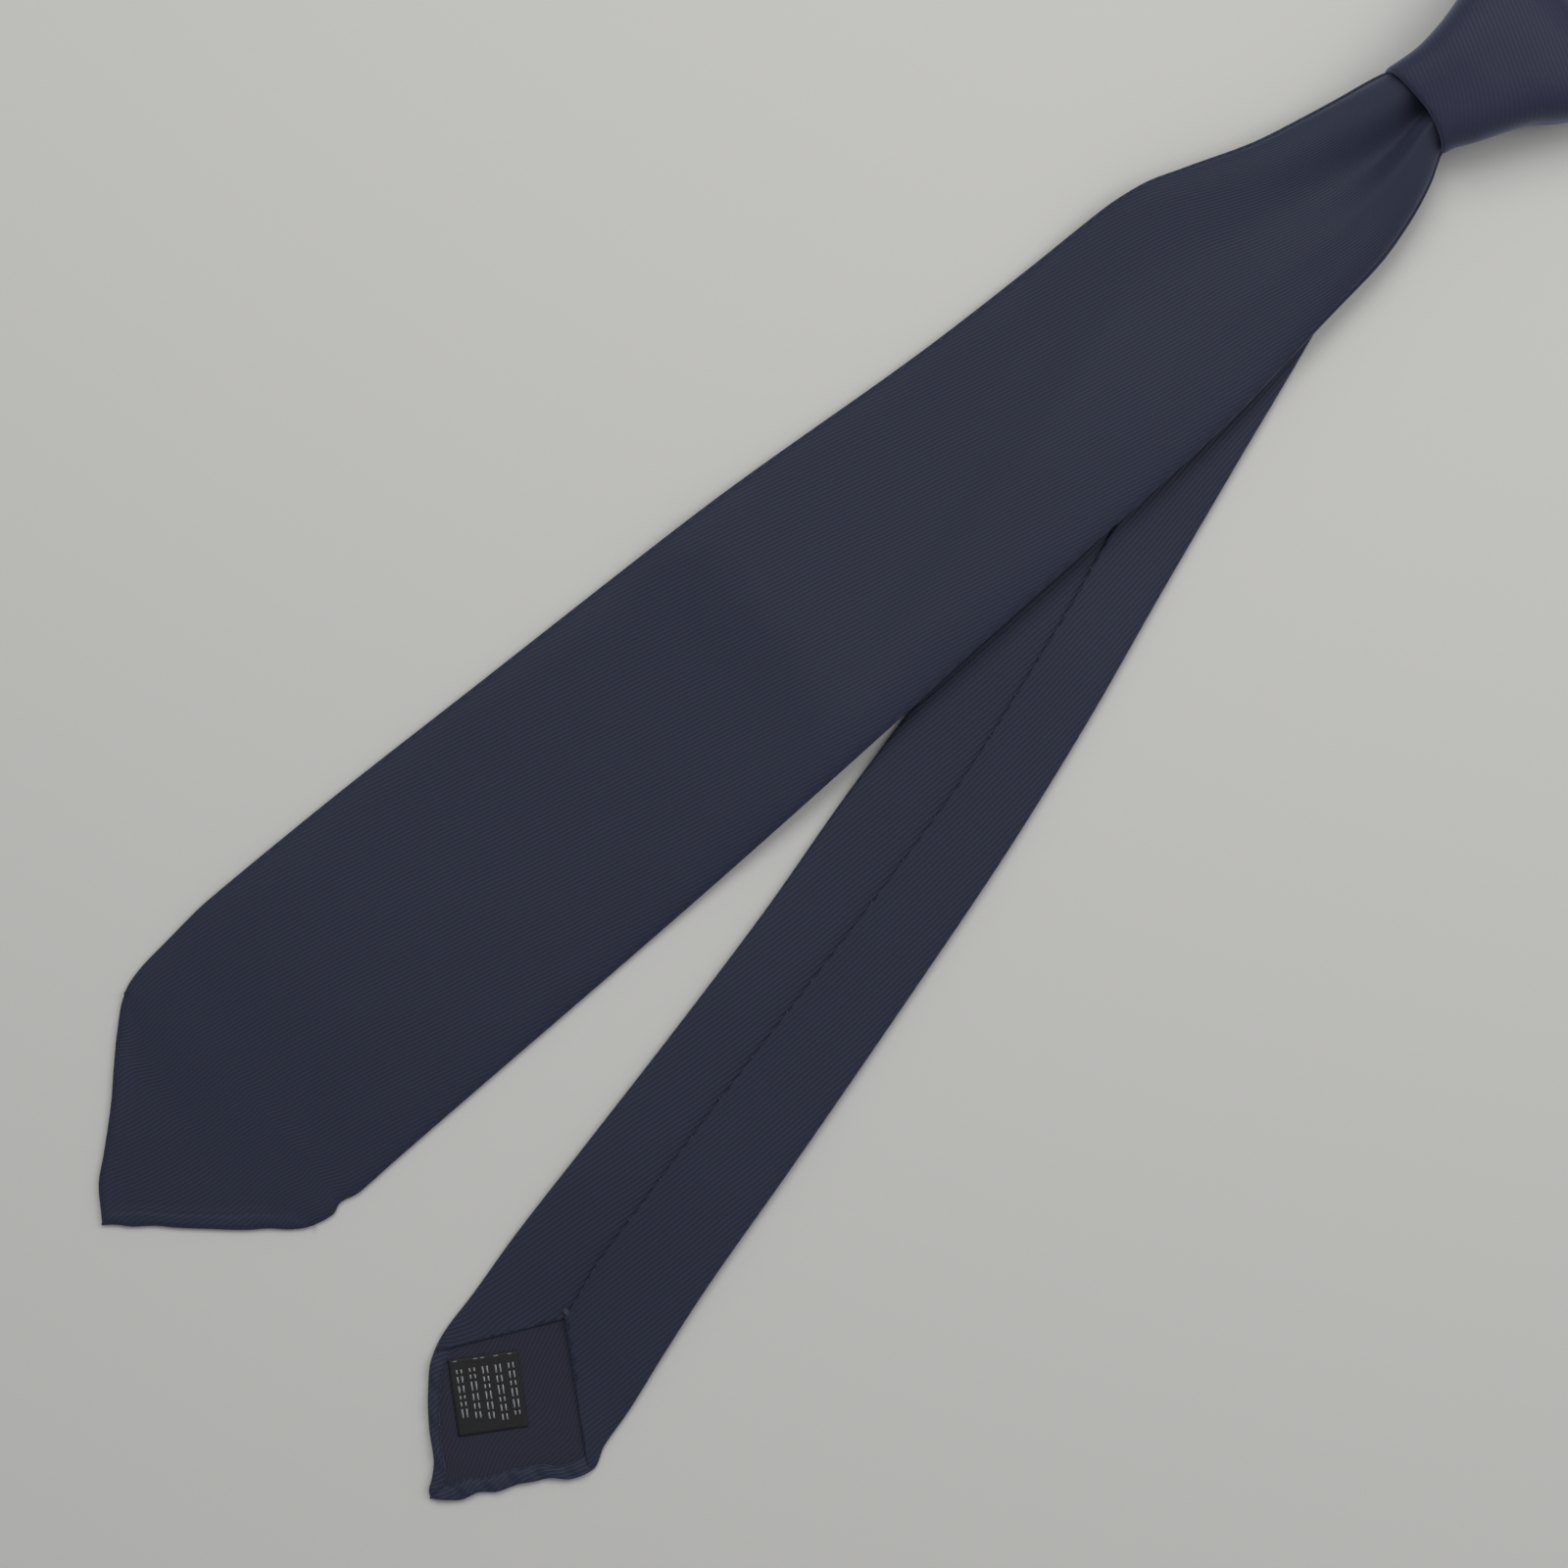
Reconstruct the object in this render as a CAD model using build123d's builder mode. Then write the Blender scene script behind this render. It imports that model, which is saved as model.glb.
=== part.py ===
"""A tied necktie laid out flat: knot, front blade, tail and neck loop.

Frame, in millimetres: the origin is on the table under the knot's mouth, +Y runs up the tie
towards the neck, +X is to the side that the tail lies on, and +Z is up. The front blade lies
face up, and the tail lies beside it with its seamed back up.
"""

import os

from build123d import *

# Cloth
SILK = 0.7                      # one silk layer
GAP = 0.1                       # room between layers
FRONT_T = 3.2                   # folded front blade
TAIL_T = 2.8                    # folded tail
FOLD = 1.1                      # silk at a folded side edge
SEAM_W = 1.2                    # gap between the back flaps, closed by the slip stitch
THREAD = 0.5

# Knot
MOUTH_TILT = -9.3               # degrees: the lip runs slightly across the tie
KNOT_WALL = 2.7
KNOT_FLOOR = 1.2                # the back wrap under the tail strip
BACK_LIP = 3                    # the back wrap reaches this far past the front lip
KNOT_SPLIT = 7.5                # height where the front wrap ends and the back wrap begins
KNOT_TOP_Y = 46
KNOT_ROUND = 0.44               # corner radius of a station, as a share of its height
KNOT_FLAT = 0.3                 # cut off below, so that the knot lies on a flat face
TURN_SETBACK = 2                # the inner turns end this far inside the mouth and the top
# Stations up the knot: y, centre x, half width, highest z
KNOT_STATIONS = [(-6, -0.6, 12.6, 19), (14, 3.1, 16.4, 23), (29, 7, 23, 24.5), (50, 9, 26, 20)]

# Front blade: half outlines as (y, x), the tip, and the blade's underside as (y, z)
BLADE_HINGE_Y = -8
BLADE_HINGE_Z = 11
PASS_W = 17                     # the blade's own stretch inside the knot
PASS_X = 0.4
PASS_TOP_Y = 4
ROOT_ROOM = 1.2                 # room round the blade's root for folding it back
FRONT_CORE_Y = -11              # where the folded silk opens for its interlining
FRONT_LEFT = [(-5, -13.9), (-22, -17.6), (-60, -29), (-84, -35), (-140, -37.2), (-220, -43.8),
              (-300, -47.2), (-400, -50), (-425, -47)]
FRONT_RIGHT = [(-5, 15.8), (-20, 22), (-58, 27.9), (-106, 32.2), (-179, 34), (-300, 37.3),
               (-400, 38), (-420, 37.3)]
FRONT_TIP = (-1, -474.8)
FRONT_APEX = (-5, -388)         # where the back flaps part, above the tip
FRONT_SEAM = [(-10, 2), (-60, 0), (-220, -4), (-392, -5)]
FRONT_UNDER = [(-8, 9.4), (-40, 6.2), (-75, 4.7), (-115, 3.4), (-240, 3.4), (-320, 0), (-480, 0)]

# Tail
STRIP_HALF = 10                 # half width of the strip inside the knot
STRIP_X = 1.5
STRIP_TOP_Y = 44
STRIP_Z = 1.5                   # underside of the strip in the knot
TAIL_PIVOT_Y = -11
PIVOT_GAP = 0.35
STRIP_ROOM = 0.3
STRIP_CORE_Y = 2                # where the strip's interlining begins
TAIL_CORE_Y = -16
TAIL_LEFT = [(-11, -8.5), (-60, -2.5), (-140, 19), (-240, 41.5), (-320, 60.5), (-400, 77.2), (-426, 83.5)]
TAIL_RIGHT = [(-11, 11.5), (-60, 28.5), (-140, 55.8), (-220, 83), (-320, 110.2), (-380, 126.8),
              (-415, 138.2)]
TAIL_TIP = (115, -454.5)
TAIL_APEX = (101.5, -394.5)
CORE_SETBACK = 5                # the interlining ends this far above the open pocket
TAIL_SEAM = [(-22, 3), (-60, 12), (-136, 32.4), (-248, 64.5), (-338, 86), (-398, 102)]
TAIL_UNDER = [(0, 1.5), (-20, 1.3), (-34, 0), (-470, 0)]

FRONT_HEM_W = 4.2               # rolled hems along the points
TAIL_HEM_W = 2.6
HEM_INSET = 0.4
HEM_PITCH = 7
STITCH_PITCH = 14
FRONT_TACK = (6, 1, 1)
TAIL_TACK = (5, 0.9, 0.6)

# Label and keeper
LABEL_SIZE = (22, 20.2)
LABEL_AT = (103.5, -424.2)
LABEL_TURN = -33.3
LABEL_T = 0.35
KEEPER_AT = (-4, -228)
KEEPER_SIZE = (52, 12)
KEEPER_T = 0.8
KEEPER_TAB = 3
KEEPER_TAB_T = 1.4
LABEL_STITCH = (0.3, 1.6, 0.28)
LABEL_STITCH_PITCH = 2.6

# Neck loop: a ribbon standing on edge in a teardrop, swinging about a line behind the knot
LOOP_X = 9
LOOP_CENTRE_Y = 138
LOOP_R = 60
LOOP_NECK_R = 6.5
LOOP_NECK_Y = 50
BAND_T = 2.8
BAND_H = 34
BAND_SILK = 0.6
LOOP_HINGE_Y = 52
BAND_LOW = 4.2                  # the band's narrow end, above the table
BAND_HIGH = 9.5
BAND_FULL_Y = (66, 100)         # where its lower and upper edges reach their full height
LOOP_HINGE_Z = (BAND_LOW + BAND_HIGH) / 2
SEAM_LEFT_Y = 118               # where the bias seams cross the band, at mid height
SEAM_RIGHT_Y = 158

BIG = 600                       # longer than the tie, for cutting shapes
TALL = 60                       # taller than the tie
PAST = 5                        # how far cutting shapes run past the neck band's edges


def blade_outline(left, right, tip, inset, crown=None):
    """The plan of a blade, drawn inwards by inset; crown is a point on a round upper end."""
    with BuildSketch(Plane.XY) as outline:
        with BuildLine():
            left_edge = Spline(*[(x + inset, y) for y, x in left])
            right_edge = Spline(*[(x - inset, y) for y, x in right])
            end = (tip[0], tip[1] + 1.4 * inset)
            if crown:
                ThreePointArc(left_edge @ 0, crown, right_edge @ 0)
            else:
                Line(left_edge @ 0, right_edge @ 0)
            Line(left_edge @ 1, end)
            Line(right_edge @ 1, end)
        make_face()
    return outline.sketch


def side_band(under, low, high, start_y=None, root=None):
    """A side view, on the YZ plane: the strip from low to high above the underside line.

    It starts at start_y with a square end, or at the line's own start with a round end through root.
    """
    points = list(under)
    if start_y is not None:
        (first_y, first_z), (next_y, next_z) = points[:2]
        share = (start_y - first_y) / (next_y - first_y)
        points[0] = (start_y, first_z + share * (next_z - first_z))
    with BuildSketch(Plane.YZ) as band:
        with BuildLine():
            lower = Polyline(*[(y, z + low) for y, z in points])
            upper = Polyline(*[(y, z + high) for y, z in points])
            if root:
                ThreePointArc(lower @ 0, root, upper @ 0)
            else:
                Line(lower @ 0, upper @ 0)
            Line(lower @ 1, upper @ 1)
        make_face()
    return band.sketch


def laid_strip(plan, band):
    """The solid with this plan and this side view."""
    with BuildPart() as strip:
        extrude(plan, amount=TALL)
        extrude(band, amount=BIG, both=True, mode=Mode.INTERSECT)
    return strip.part


def seam_plan(points, width):
    """A slot of this width along the (y, x) points."""
    with BuildSketch(Plane.XY) as seam:
        with BuildLine():
            Polyline(*[(x, y) for y, x in points])
        trace(line_width=width)
    return seam.sketch


def pocket_plan(apex, left_end, right_end):
    """Everything beyond the V-shaped edge of the back flaps."""
    with BuildSketch(Plane.XY) as pocket:
        with BuildLine():
            Polyline(
                apex, left_end, (left_end[0] - 20, left_end[1]), (left_end[0] - 20, -520),
                (right_end[0] + 20, -520), (right_end[0] + 20, right_end[1]), right_end, apex,
            )
        make_face()
    return pocket.sketch


def points_along(points, pitch, margin):
    """Evenly spaced (location, direction in degrees) along a polyline."""
    with BuildLine():
        route = Polyline(*points)
    count = int((route.length - 2 * margin) / pitch)
    spots = []
    for index in range(count + 1):
        place = (margin + index * pitch) / route.length
        tangent = route % place
        spots.append((route @ place, Vector(1, 0, 0).get_signed_angle(tangent)))
    return spots


def stitches(spots, height, length, turn=0):
    """Short lengths of thread lying at a height, one at each spot."""
    with BuildPart() as thread:
        for point, angle in spots:
            with Locations(Location((point.X, point.Y, height + THREAD / 2), (0, 0, angle + turn))):
                Box(length, THREAD, THREAD)
    return thread.part


def knot_loft(inset, floor):
    """The knot's rounded body, open-ended past both ends, drawn inwards by inset."""
    with BuildPart() as body:
        for y, centre, half, high in KNOT_STATIONS:
            top = high - inset
            station = Plane((centre, y, (floor + top) / 2), x_dir=(1, 0, 0), z_dir=(0, -1, 0))
            with BuildSketch(station):
                RectangleRounded(2 * (half - inset), top - floor, KNOT_ROUND * top)
        loft()
    return body.part


def knot_length(mouth_setback, top_setback):
    """Everything between the knot's tilted mouth and its top, less a setback at each end."""
    mouth = Plane.XY.rotated((0, 0, MOUTH_TILT))
    with BuildPart() as length:
        with BuildSketch(Plane.XY.offset(-1)):
            with Locations((0, KNOT_TOP_Y - top_setback - 100)):
                Rectangle(200, 200)
        extrude(amount=TALL)
        with BuildSketch(mouth.offset(-1)):
            with Locations((0, mouth_setback - 150)):
                Rectangle(400, 300)
        extrude(amount=TALL, mode=Mode.SUBTRACT)
    return length.part


def slab(low, high):
    """Everything between two heights."""
    with BuildPart() as layer:
        with BuildSketch(Plane.XY.offset(low)):
            Rectangle(400, 400)
        extrude(amount=high - low)
    return layer.part


knot_inner = knot_loft(KNOT_WALL, KNOT_FLOOR)
knot_filling = knot_loft(KNOT_WALL + GAP, KNOT_FLOOR + GAP)

# Knot: silk wraps, interlining and inner turns

with BuildPart() as knot_front_wrap:
    add(knot_loft(0, 0))
    add(knot_loft(SILK, SILK), mode=Mode.SUBTRACT)
    add(knot_length(0, 0), mode=Mode.INTERSECT)
    add(slab(KNOT_SPLIT + GAP, TALL), mode=Mode.INTERSECT)
knot_front_wrap.part.label = "knot_front_wrap"

with BuildPart() as knot_wrap_interlining:
    add(knot_loft(SILK + GAP, SILK + GAP))
    add(knot_inner, mode=Mode.SUBTRACT)
    add(knot_length(0.8, 0.8), mode=Mode.INTERSECT)
    add(slab(KNOT_SPLIT + GAP, TALL), mode=Mode.INTERSECT)
knot_wrap_interlining.part.label = "knot_wrap_interlining"

with BuildPart() as knot_back_wrap:
    add(knot_loft(0, -KNOT_FLAT))
    add(knot_inner, mode=Mode.SUBTRACT)
    add(knot_length(-BACK_LIP, 0), mode=Mode.INTERSECT)
    add(slab(0, KNOT_SPLIT), mode=Mode.INTERSECT)
    with BuildSketch(Plane.XY.offset(STRIP_Z - STRIP_ROOM)):
        with Locations((STRIP_X, 0)):
            Rectangle(2 * (STRIP_HALF + STRIP_ROOM), BIG)
    extrude(amount=TAIL_T + 2 * STRIP_ROOM, mode=Mode.SUBTRACT)
knot_back_wrap.part.label = "knot_back_wrap"

TURN_LOW = STRIP_Z + TAIL_T + STRIP_ROOM
PASS_LOW = BLADE_HINGE_Z - FRONT_T / 2

with BuildPart() as knot_inner_turn:
    add(knot_filling)
    add(knot_length(TURN_SETBACK, TURN_SETBACK), mode=Mode.INTERSECT)
    add(slab(TURN_LOW, PASS_LOW - GAP), mode=Mode.INTERSECT)
knot_inner_turn.part.label = "knot_inner_turn"

with BuildPart() as knot_cross_turn:
    add(knot_filling)
    add(knot_length(TURN_SETBACK, TURN_SETBACK), mode=Mode.INTERSECT)
    add(slab(PASS_LOW + FRONT_T + GAP, TALL), mode=Mode.INTERSECT)
knot_cross_turn.part.label = "knot_cross_turn"

# The front blade's own stretch inside the knot, ending in a hollow round the blade's hinge line
with BuildPart() as front_blade_pass:
    add(knot_filling)
    add(knot_length(TURN_SETBACK, TURN_SETBACK), mode=Mode.INTERSECT)
    with BuildSketch(Plane.XY.offset(PASS_LOW)):
        with Locations((PASS_X, (PASS_TOP_Y + BLADE_HINGE_Y) / 2)):
            Rectangle(PASS_W, PASS_TOP_Y - BLADE_HINGE_Y)
    extrude(amount=FRONT_T)
    add(slab(PASS_LOW, PASS_LOW + FRONT_T), mode=Mode.INTERSECT)
    with BuildSketch(Plane.YZ):
        with Locations((BLADE_HINGE_Y, BLADE_HINGE_Z)):
            Circle(FRONT_T / 2 + ROOT_ROOM)
    extrude(amount=TALL, both=True, mode=Mode.SUBTRACT)
front_blade_pass.part.label = "front_blade_pass"

# Front blade

front_silk_plan = blade_outline(FRONT_LEFT, FRONT_RIGHT, FRONT_TIP, 0)
front_core_plan = blade_outline(FRONT_LEFT, FRONT_RIGHT, FRONT_TIP, FOLD)
front_flaps_end = (FRONT_LEFT[-1][1] - 2, FRONT_LEFT[-1][0])
front_flaps_end_right = (FRONT_RIGHT[-1][1] + 2, FRONT_RIGHT[-1][0])
front_pocket = pocket_plan(FRONT_APEX, front_flaps_end, front_flaps_end_right)

with BuildPart() as front_blade_silk:
    blade_root = (BLADE_HINGE_Y + FRONT_T / 2, BLADE_HINGE_Z)
    add(laid_strip(front_silk_plan, side_band(FRONT_UNDER, 0, FRONT_T, root=blade_root)))
    core_room = laid_strip(front_core_plan, side_band(FRONT_UNDER, SILK, FRONT_T - SILK, FRONT_CORE_Y))
    add(core_room, mode=Mode.SUBTRACT)
    seam = laid_strip(seam_plan(FRONT_SEAM, SEAM_W), side_band(FRONT_UNDER, -2, SILK + GAP))
    add(seam, mode=Mode.SUBTRACT)
    extrude(front_pocket, amount=FRONT_T - SILK, mode=Mode.SUBTRACT)
front_blade_silk.part.label = "front_blade_silk"

with BuildPart() as front_interlining:
    plan = blade_outline(FRONT_LEFT, FRONT_RIGHT, FRONT_TIP, FOLD + GAP)
    core_band = side_band(FRONT_UNDER, SILK + GAP, FRONT_T - SILK - GAP, FRONT_CORE_Y - 1)
    add(laid_strip(plan, core_band))
    extrude(front_pocket.moved(Location((0, CORE_SETBACK, 0))), amount=TALL, mode=Mode.SUBTRACT)
front_interlining.part.label = "front_interlining"


def point_hem(left, right, tip, width, pocket, low, high):
    """The rolled hem along both sides of a blade's point, in the open pocket."""
    with BuildPart() as hem:
        extrude(blade_outline(left, right, tip, HEM_INSET), amount=high)
        extrude(blade_outline(left, right, tip, width), amount=high, mode=Mode.SUBTRACT)
        extrude(pocket, amount=TALL, mode=Mode.INTERSECT)
        with BuildSketch(Plane.XY):
            with Locations((0, -BIG / 2)):
                Rectangle(2 * BIG, BIG)
        extrude(amount=low, mode=Mode.SUBTRACT)
    return hem.part


def hem_spots(left, right, tip, width):
    """Stitch spots along the inner edge of a point's hem."""
    reach = width + 1
    left_end = (left[-1][1] + reach, left[-1][0] + 3)
    right_end = (right[-1][1] - reach, right[-1][0] + 3)
    end = (tip[0], tip[1] + 1.4 * reach)
    return points_along([left_end, end], HEM_PITCH, 5) + points_along([end, right_end], HEM_PITCH, 5)


HEM_TOP = FRONT_T - SILK - GAP
with BuildPart() as front_tip_hem:
    add(point_hem(FRONT_LEFT, FRONT_RIGHT, FRONT_TIP, FRONT_HEM_W, front_pocket, 0.3, HEM_TOP))
front_tip_hem.part.label = "front_tip_hem"

with BuildPart() as front_hem_stitches:
    add(stitches(hem_spots(FRONT_LEFT, FRONT_RIGHT, FRONT_TIP, FRONT_HEM_W), HEM_TOP - THREAD, 2.0))
front_hem_stitches.part.label = "front_hem_stitches"

FLAT_SEAM_Y = -330
front_seam_low = [(x, y) for y, x in [(FLAT_SEAM_Y, -4.7), FRONT_SEAM[-1]]]
with BuildPart() as front_slip_stitches:
    add(stitches(points_along(front_seam_low, STITCH_PITCH, 5), GAP, SEAM_W - 0.2, turn=90))
front_slip_stitches.part.label = "front_slip_stitches"

with BuildPart() as front_bar_tack:
    with Locations((FRONT_APEX[0], FRONT_APEX[1] - 3.6, 1.2)):
        Box(*FRONT_TACK)
front_bar_tack.part.label = "front_bar_tack"

KEEPER_TOP = FRONT_UNDER[3][1]
with BuildPart() as keeper_loop:
    with BuildSketch(Plane.XY.offset(KEEPER_TOP - GAP - KEEPER_T)):
        with Locations(KEEPER_AT):
            Rectangle(*KEEPER_SIZE)
    extrude(amount=KEEPER_T)
    tab_x = KEEPER_SIZE[0] / 2 - KEEPER_TAB / 2
    with BuildSketch(Plane.XY.offset(KEEPER_TOP - GAP - KEEPER_TAB_T)):
        with Locations(KEEPER_AT):
            Rectangle(*KEEPER_SIZE)
            Rectangle(KEEPER_SIZE[0] - 2 * KEEPER_TAB, KEEPER_SIZE[1], mode=Mode.SUBTRACT)
    extrude(amount=KEEPER_TAB_T)
keeper_loop.part.label = "keeper_loop"

with BuildPart() as keeper_stitches:
    for side in (-1, 1):
        with Locations((KEEPER_AT[0] + side * (tab_x + 2.2), KEEPER_AT[1], KEEPER_TOP - 0.4)):
            with GridLocations(1, 3, 1, 4):
                Box(0.8, THREAD, THREAD)
keeper_stitches.part.label = "keeper_stitches"

# Tail strip inside the knot

with BuildPart() as tail_strip_silk:
    with BuildSketch(Plane.XY.offset(STRIP_Z)) as strip_plan:
        with Locations((STRIP_X, (STRIP_TOP_Y + TAIL_PIVOT_Y) / 2)):
            Rectangle(2 * STRIP_HALF, STRIP_TOP_Y - TAIL_PIVOT_Y)
        with Locations((STRIP_X, TAIL_PIVOT_Y)):
            Circle(STRIP_HALF + PIVOT_GAP, mode=Mode.SUBTRACT)
    extrude(amount=TAIL_T)
    with BuildSketch(Plane.XY.offset(STRIP_Z + SILK)):
        with Locations((STRIP_X, (STRIP_TOP_Y + STRIP_CORE_Y) / 2)):
            Rectangle(2 * (STRIP_HALF - FOLD), STRIP_TOP_Y - STRIP_CORE_Y)
    extrude(amount=TAIL_T - 2 * SILK, mode=Mode.SUBTRACT)
tail_strip_silk.part.label = "tail_strip_silk"

with BuildPart() as tail_strip_interlining:
    with BuildSketch(Plane.XY.offset(STRIP_Z + SILK + GAP)):
        with Locations((STRIP_X, (STRIP_TOP_Y + STRIP_CORE_Y) / 2)):
            Rectangle(2 * (STRIP_HALF - FOLD - GAP), STRIP_TOP_Y - STRIP_CORE_Y - 2 * GAP)
    extrude(amount=TAIL_T - 2 * SILK - 2 * GAP)
tail_strip_interlining.part.label = "tail_strip_interlining"

# Tail blade

tail_crown = (STRIP_X, TAIL_PIVOT_Y + STRIP_HALF)
tail_silk_plan = blade_outline(TAIL_LEFT, TAIL_RIGHT, TAIL_TIP, 0, crown=tail_crown)
tail_core_plan = blade_outline(TAIL_LEFT, TAIL_RIGHT, TAIL_TIP, FOLD)
tail_flaps_left = (TAIL_LEFT[-1][1] - 2, TAIL_LEFT[-1][0] + 1)
tail_flaps_right = (TAIL_RIGHT[-1][1] - 1, TAIL_RIGHT[-1][0] - 2)
tail_pocket = pocket_plan(TAIL_APEX, tail_flaps_left, tail_flaps_right)

with BuildPart() as tail_blade_silk:
    add(laid_strip(tail_silk_plan, side_band(TAIL_UNDER, 0, TAIL_T)))
    tail_room = laid_strip(tail_core_plan, side_band(TAIL_UNDER, SILK, TAIL_T - SILK, TAIL_CORE_Y))
    add(tail_room, mode=Mode.SUBTRACT)
    seam = laid_strip(seam_plan(TAIL_SEAM, SEAM_W), side_band(TAIL_UNDER, TAIL_T - SILK - GAP, 2 * TAIL_T))
    add(seam, mode=Mode.SUBTRACT)
    with BuildSketch(Plane.XY.offset(SILK)):
        add(tail_pocket)
    extrude(amount=TALL, mode=Mode.SUBTRACT)
tail_blade_silk.part.label = "tail_blade_silk"

with BuildPart() as tail_interlining:
    plan = blade_outline(TAIL_LEFT, TAIL_RIGHT, TAIL_TIP, FOLD + GAP)
    core_band = side_band(TAIL_UNDER, SILK + GAP, TAIL_T - SILK - GAP, TAIL_CORE_Y - 1)
    add(laid_strip(plan, core_band))
    extrude(tail_pocket.moved(Location((0, CORE_SETBACK, 0))), amount=TALL, mode=Mode.SUBTRACT)
tail_interlining.part.label = "tail_interlining"

with BuildPart() as tail_tip_hem:
    add(point_hem(TAIL_LEFT, TAIL_RIGHT, TAIL_TIP, TAIL_HEM_W, tail_pocket, SILK + GAP, TAIL_T))
tail_tip_hem.part.label = "tail_tip_hem"

label_spot = Location((LABEL_AT[0], LABEL_AT[1], SILK + GAP + LABEL_T / 2), (0, 0, LABEL_TURN))
with BuildPart() as tail_hem_stitches:
    add(stitches(hem_spots(TAIL_LEFT, TAIL_RIGHT, TAIL_TIP, TAIL_HEM_W), SILK + GAP, 1.6))
    with Locations(label_spot):
        Box(LABEL_SIZE[0] + 2, LABEL_SIZE[1] + 2, 4, mode=Mode.SUBTRACT)
tail_hem_stitches.part.label = "tail_hem_stitches"

tail_seam_route = [(x, y) for y, x in TAIL_SEAM[1:]]
with BuildPart() as tail_slip_stitches:
    add(stitches(points_along(tail_seam_route, STITCH_PITCH, 5), TAIL_T - THREAD - GAP, SEAM_W - 0.2, 90))
tail_slip_stitches.part.label = "tail_slip_stitches"

with BuildPart() as tail_bar_tack:
    with Locations((TAIL_APEX[0], TAIL_APEX[1] + 1.5, TAIL_T + 0.32)):
        Box(*TAIL_TACK)
tail_bar_tack.part.label = "tail_bar_tack"

with BuildPart() as composition_label:
    with Locations(label_spot):
        Box(LABEL_SIZE[0], LABEL_SIZE[1], LABEL_T)
composition_label.part.label = "composition_label"

with BuildPart() as label_stitches:
    with Locations(label_spot):
        with Locations((0, 0, LABEL_T / 2 + 0.15)):
            with GridLocations(LABEL_SIZE[0] - 1.6, LABEL_STITCH_PITCH, 2, 7):
                Box(*LABEL_STITCH)
label_stitches.part.label = "label_stitches"

# Neck loop


def teardrop(inset):
    """The plan of the loop's outer face, drawn inwards by inset."""
    with BuildSketch(Plane.XY) as plan:
        with Locations((LOOP_X, LOOP_CENTRE_Y)):
            Circle(LOOP_R + BAND_T / 2 - inset)
        with Locations((LOOP_X, LOOP_NECK_Y)):
            Circle(LOOP_NECK_R + BAND_T / 2 - inset)
        make_hull()
    return plan.sketch


def ribbon(inset, edge):
    """The loop's ribbon, tapered to a round end at its hinge, inset in thickness and at its edges."""
    with BuildPart() as band:
        extrude(teardrop(inset), amount=BAND_H)
        extrude(teardrop(BAND_T - inset), amount=BAND_H, mode=Mode.SUBTRACT)
        with BuildSketch(Plane.YZ):
            with BuildLine():
                outline = Polyline(
                    (LOOP_HINGE_Y, BAND_LOW + edge), (BAND_FULL_Y[0], edge), (BIG, edge),
                    (BIG, BAND_H - edge), (BAND_FULL_Y[1], BAND_H - edge),
                    (LOOP_HINGE_Y, BAND_HIGH - edge),
                )
                root = (LOOP_HINGE_Y - (BAND_HIGH - BAND_LOW) / 2 + edge, LOOP_HINGE_Z)
                ThreePointArc(outline @ 1, root, outline @ 0)
            make_face()
        extrude(amount=BIG, both=True, mode=Mode.INTERSECT)
    return band.part


band_full = ribbon(0, 0)
band_room = ribbon(BAND_SILK, BAND_SILK)


def below_bias(seam_y, gap):
    """Everything on the knot's side of a bias seam at seam_y."""
    with BuildPart() as side:
        with BuildSketch(Plane.YZ):
            with BuildLine():
                Polyline(
                    (0, -PAST), (seam_y - BAND_H / 2 - PAST - gap, -PAST),
                    (seam_y + BAND_H / 2 + PAST - gap, BAND_H + PAST), (0, BAND_H + PAST), (0, -PAST),
                )
            make_face()
        extrude(amount=BIG, both=True)
    return side.part


def half_loop(side):
    """Everything on one side of the loop's middle line; side is -1 or 1."""
    with BuildPart() as half:
        with BuildSketch(Plane.XY.offset(-PAST)):
            with Locations((LOOP_X + side * BIG / 2, LOOP_CENTRE_Y)):
                Rectangle(BIG, BIG)
        extrude(amount=BAND_H + 2 * PAST)
    return half.part


with BuildPart() as neck_front_panel:
    add(band_full)
    add(band_room, mode=Mode.SUBTRACT)
    add(half_loop(-1), mode=Mode.INTERSECT)
    add(below_bias(SEAM_LEFT_Y, 0.05), mode=Mode.INTERSECT)
neck_front_panel.part.label = "neck_front_panel"

with BuildPart() as neck_tail_panel:
    add(band_full)
    add(band_room, mode=Mode.SUBTRACT)
    add(half_loop(1), mode=Mode.INTERSECT)
    add(below_bias(SEAM_RIGHT_Y, 0.05), mode=Mode.INTERSECT)
neck_tail_panel.part.label = "neck_tail_panel"

left_side = half_loop(-1).intersect(below_bias(SEAM_LEFT_Y, -0.05))
right_side = half_loop(1).intersect(below_bias(SEAM_RIGHT_Y, -0.05))
with BuildPart() as neck_gusset:
    add(band_full)
    add(band_room, mode=Mode.SUBTRACT)
    add(left_side, mode=Mode.SUBTRACT)
    add(right_side, mode=Mode.SUBTRACT)
neck_gusset.part.label = "neck_gusset"

with BuildPart() as neck_interlining:
    add(ribbon(BAND_SILK + GAP, BAND_SILK + GAP))
neck_interlining.part.label = "neck_interlining"

with BuildPart() as neck_slip_stitches:
    inner_face = LOOP_R - BAND_T / 2 - THREAD / 2 - GAP
    with BuildSketch(Plane.XY.offset(BAND_H / 2 - 1)):
        with Locations((LOOP_X, LOOP_CENTRE_Y)):
            with PolarLocations(inner_face, 17, start_angle=-20, angular_range=220):
                Rectangle(THREAD, THREAD)
    extrude(amount=2)
neck_slip_stitches.part.label = "neck_slip_stitches"

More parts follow.
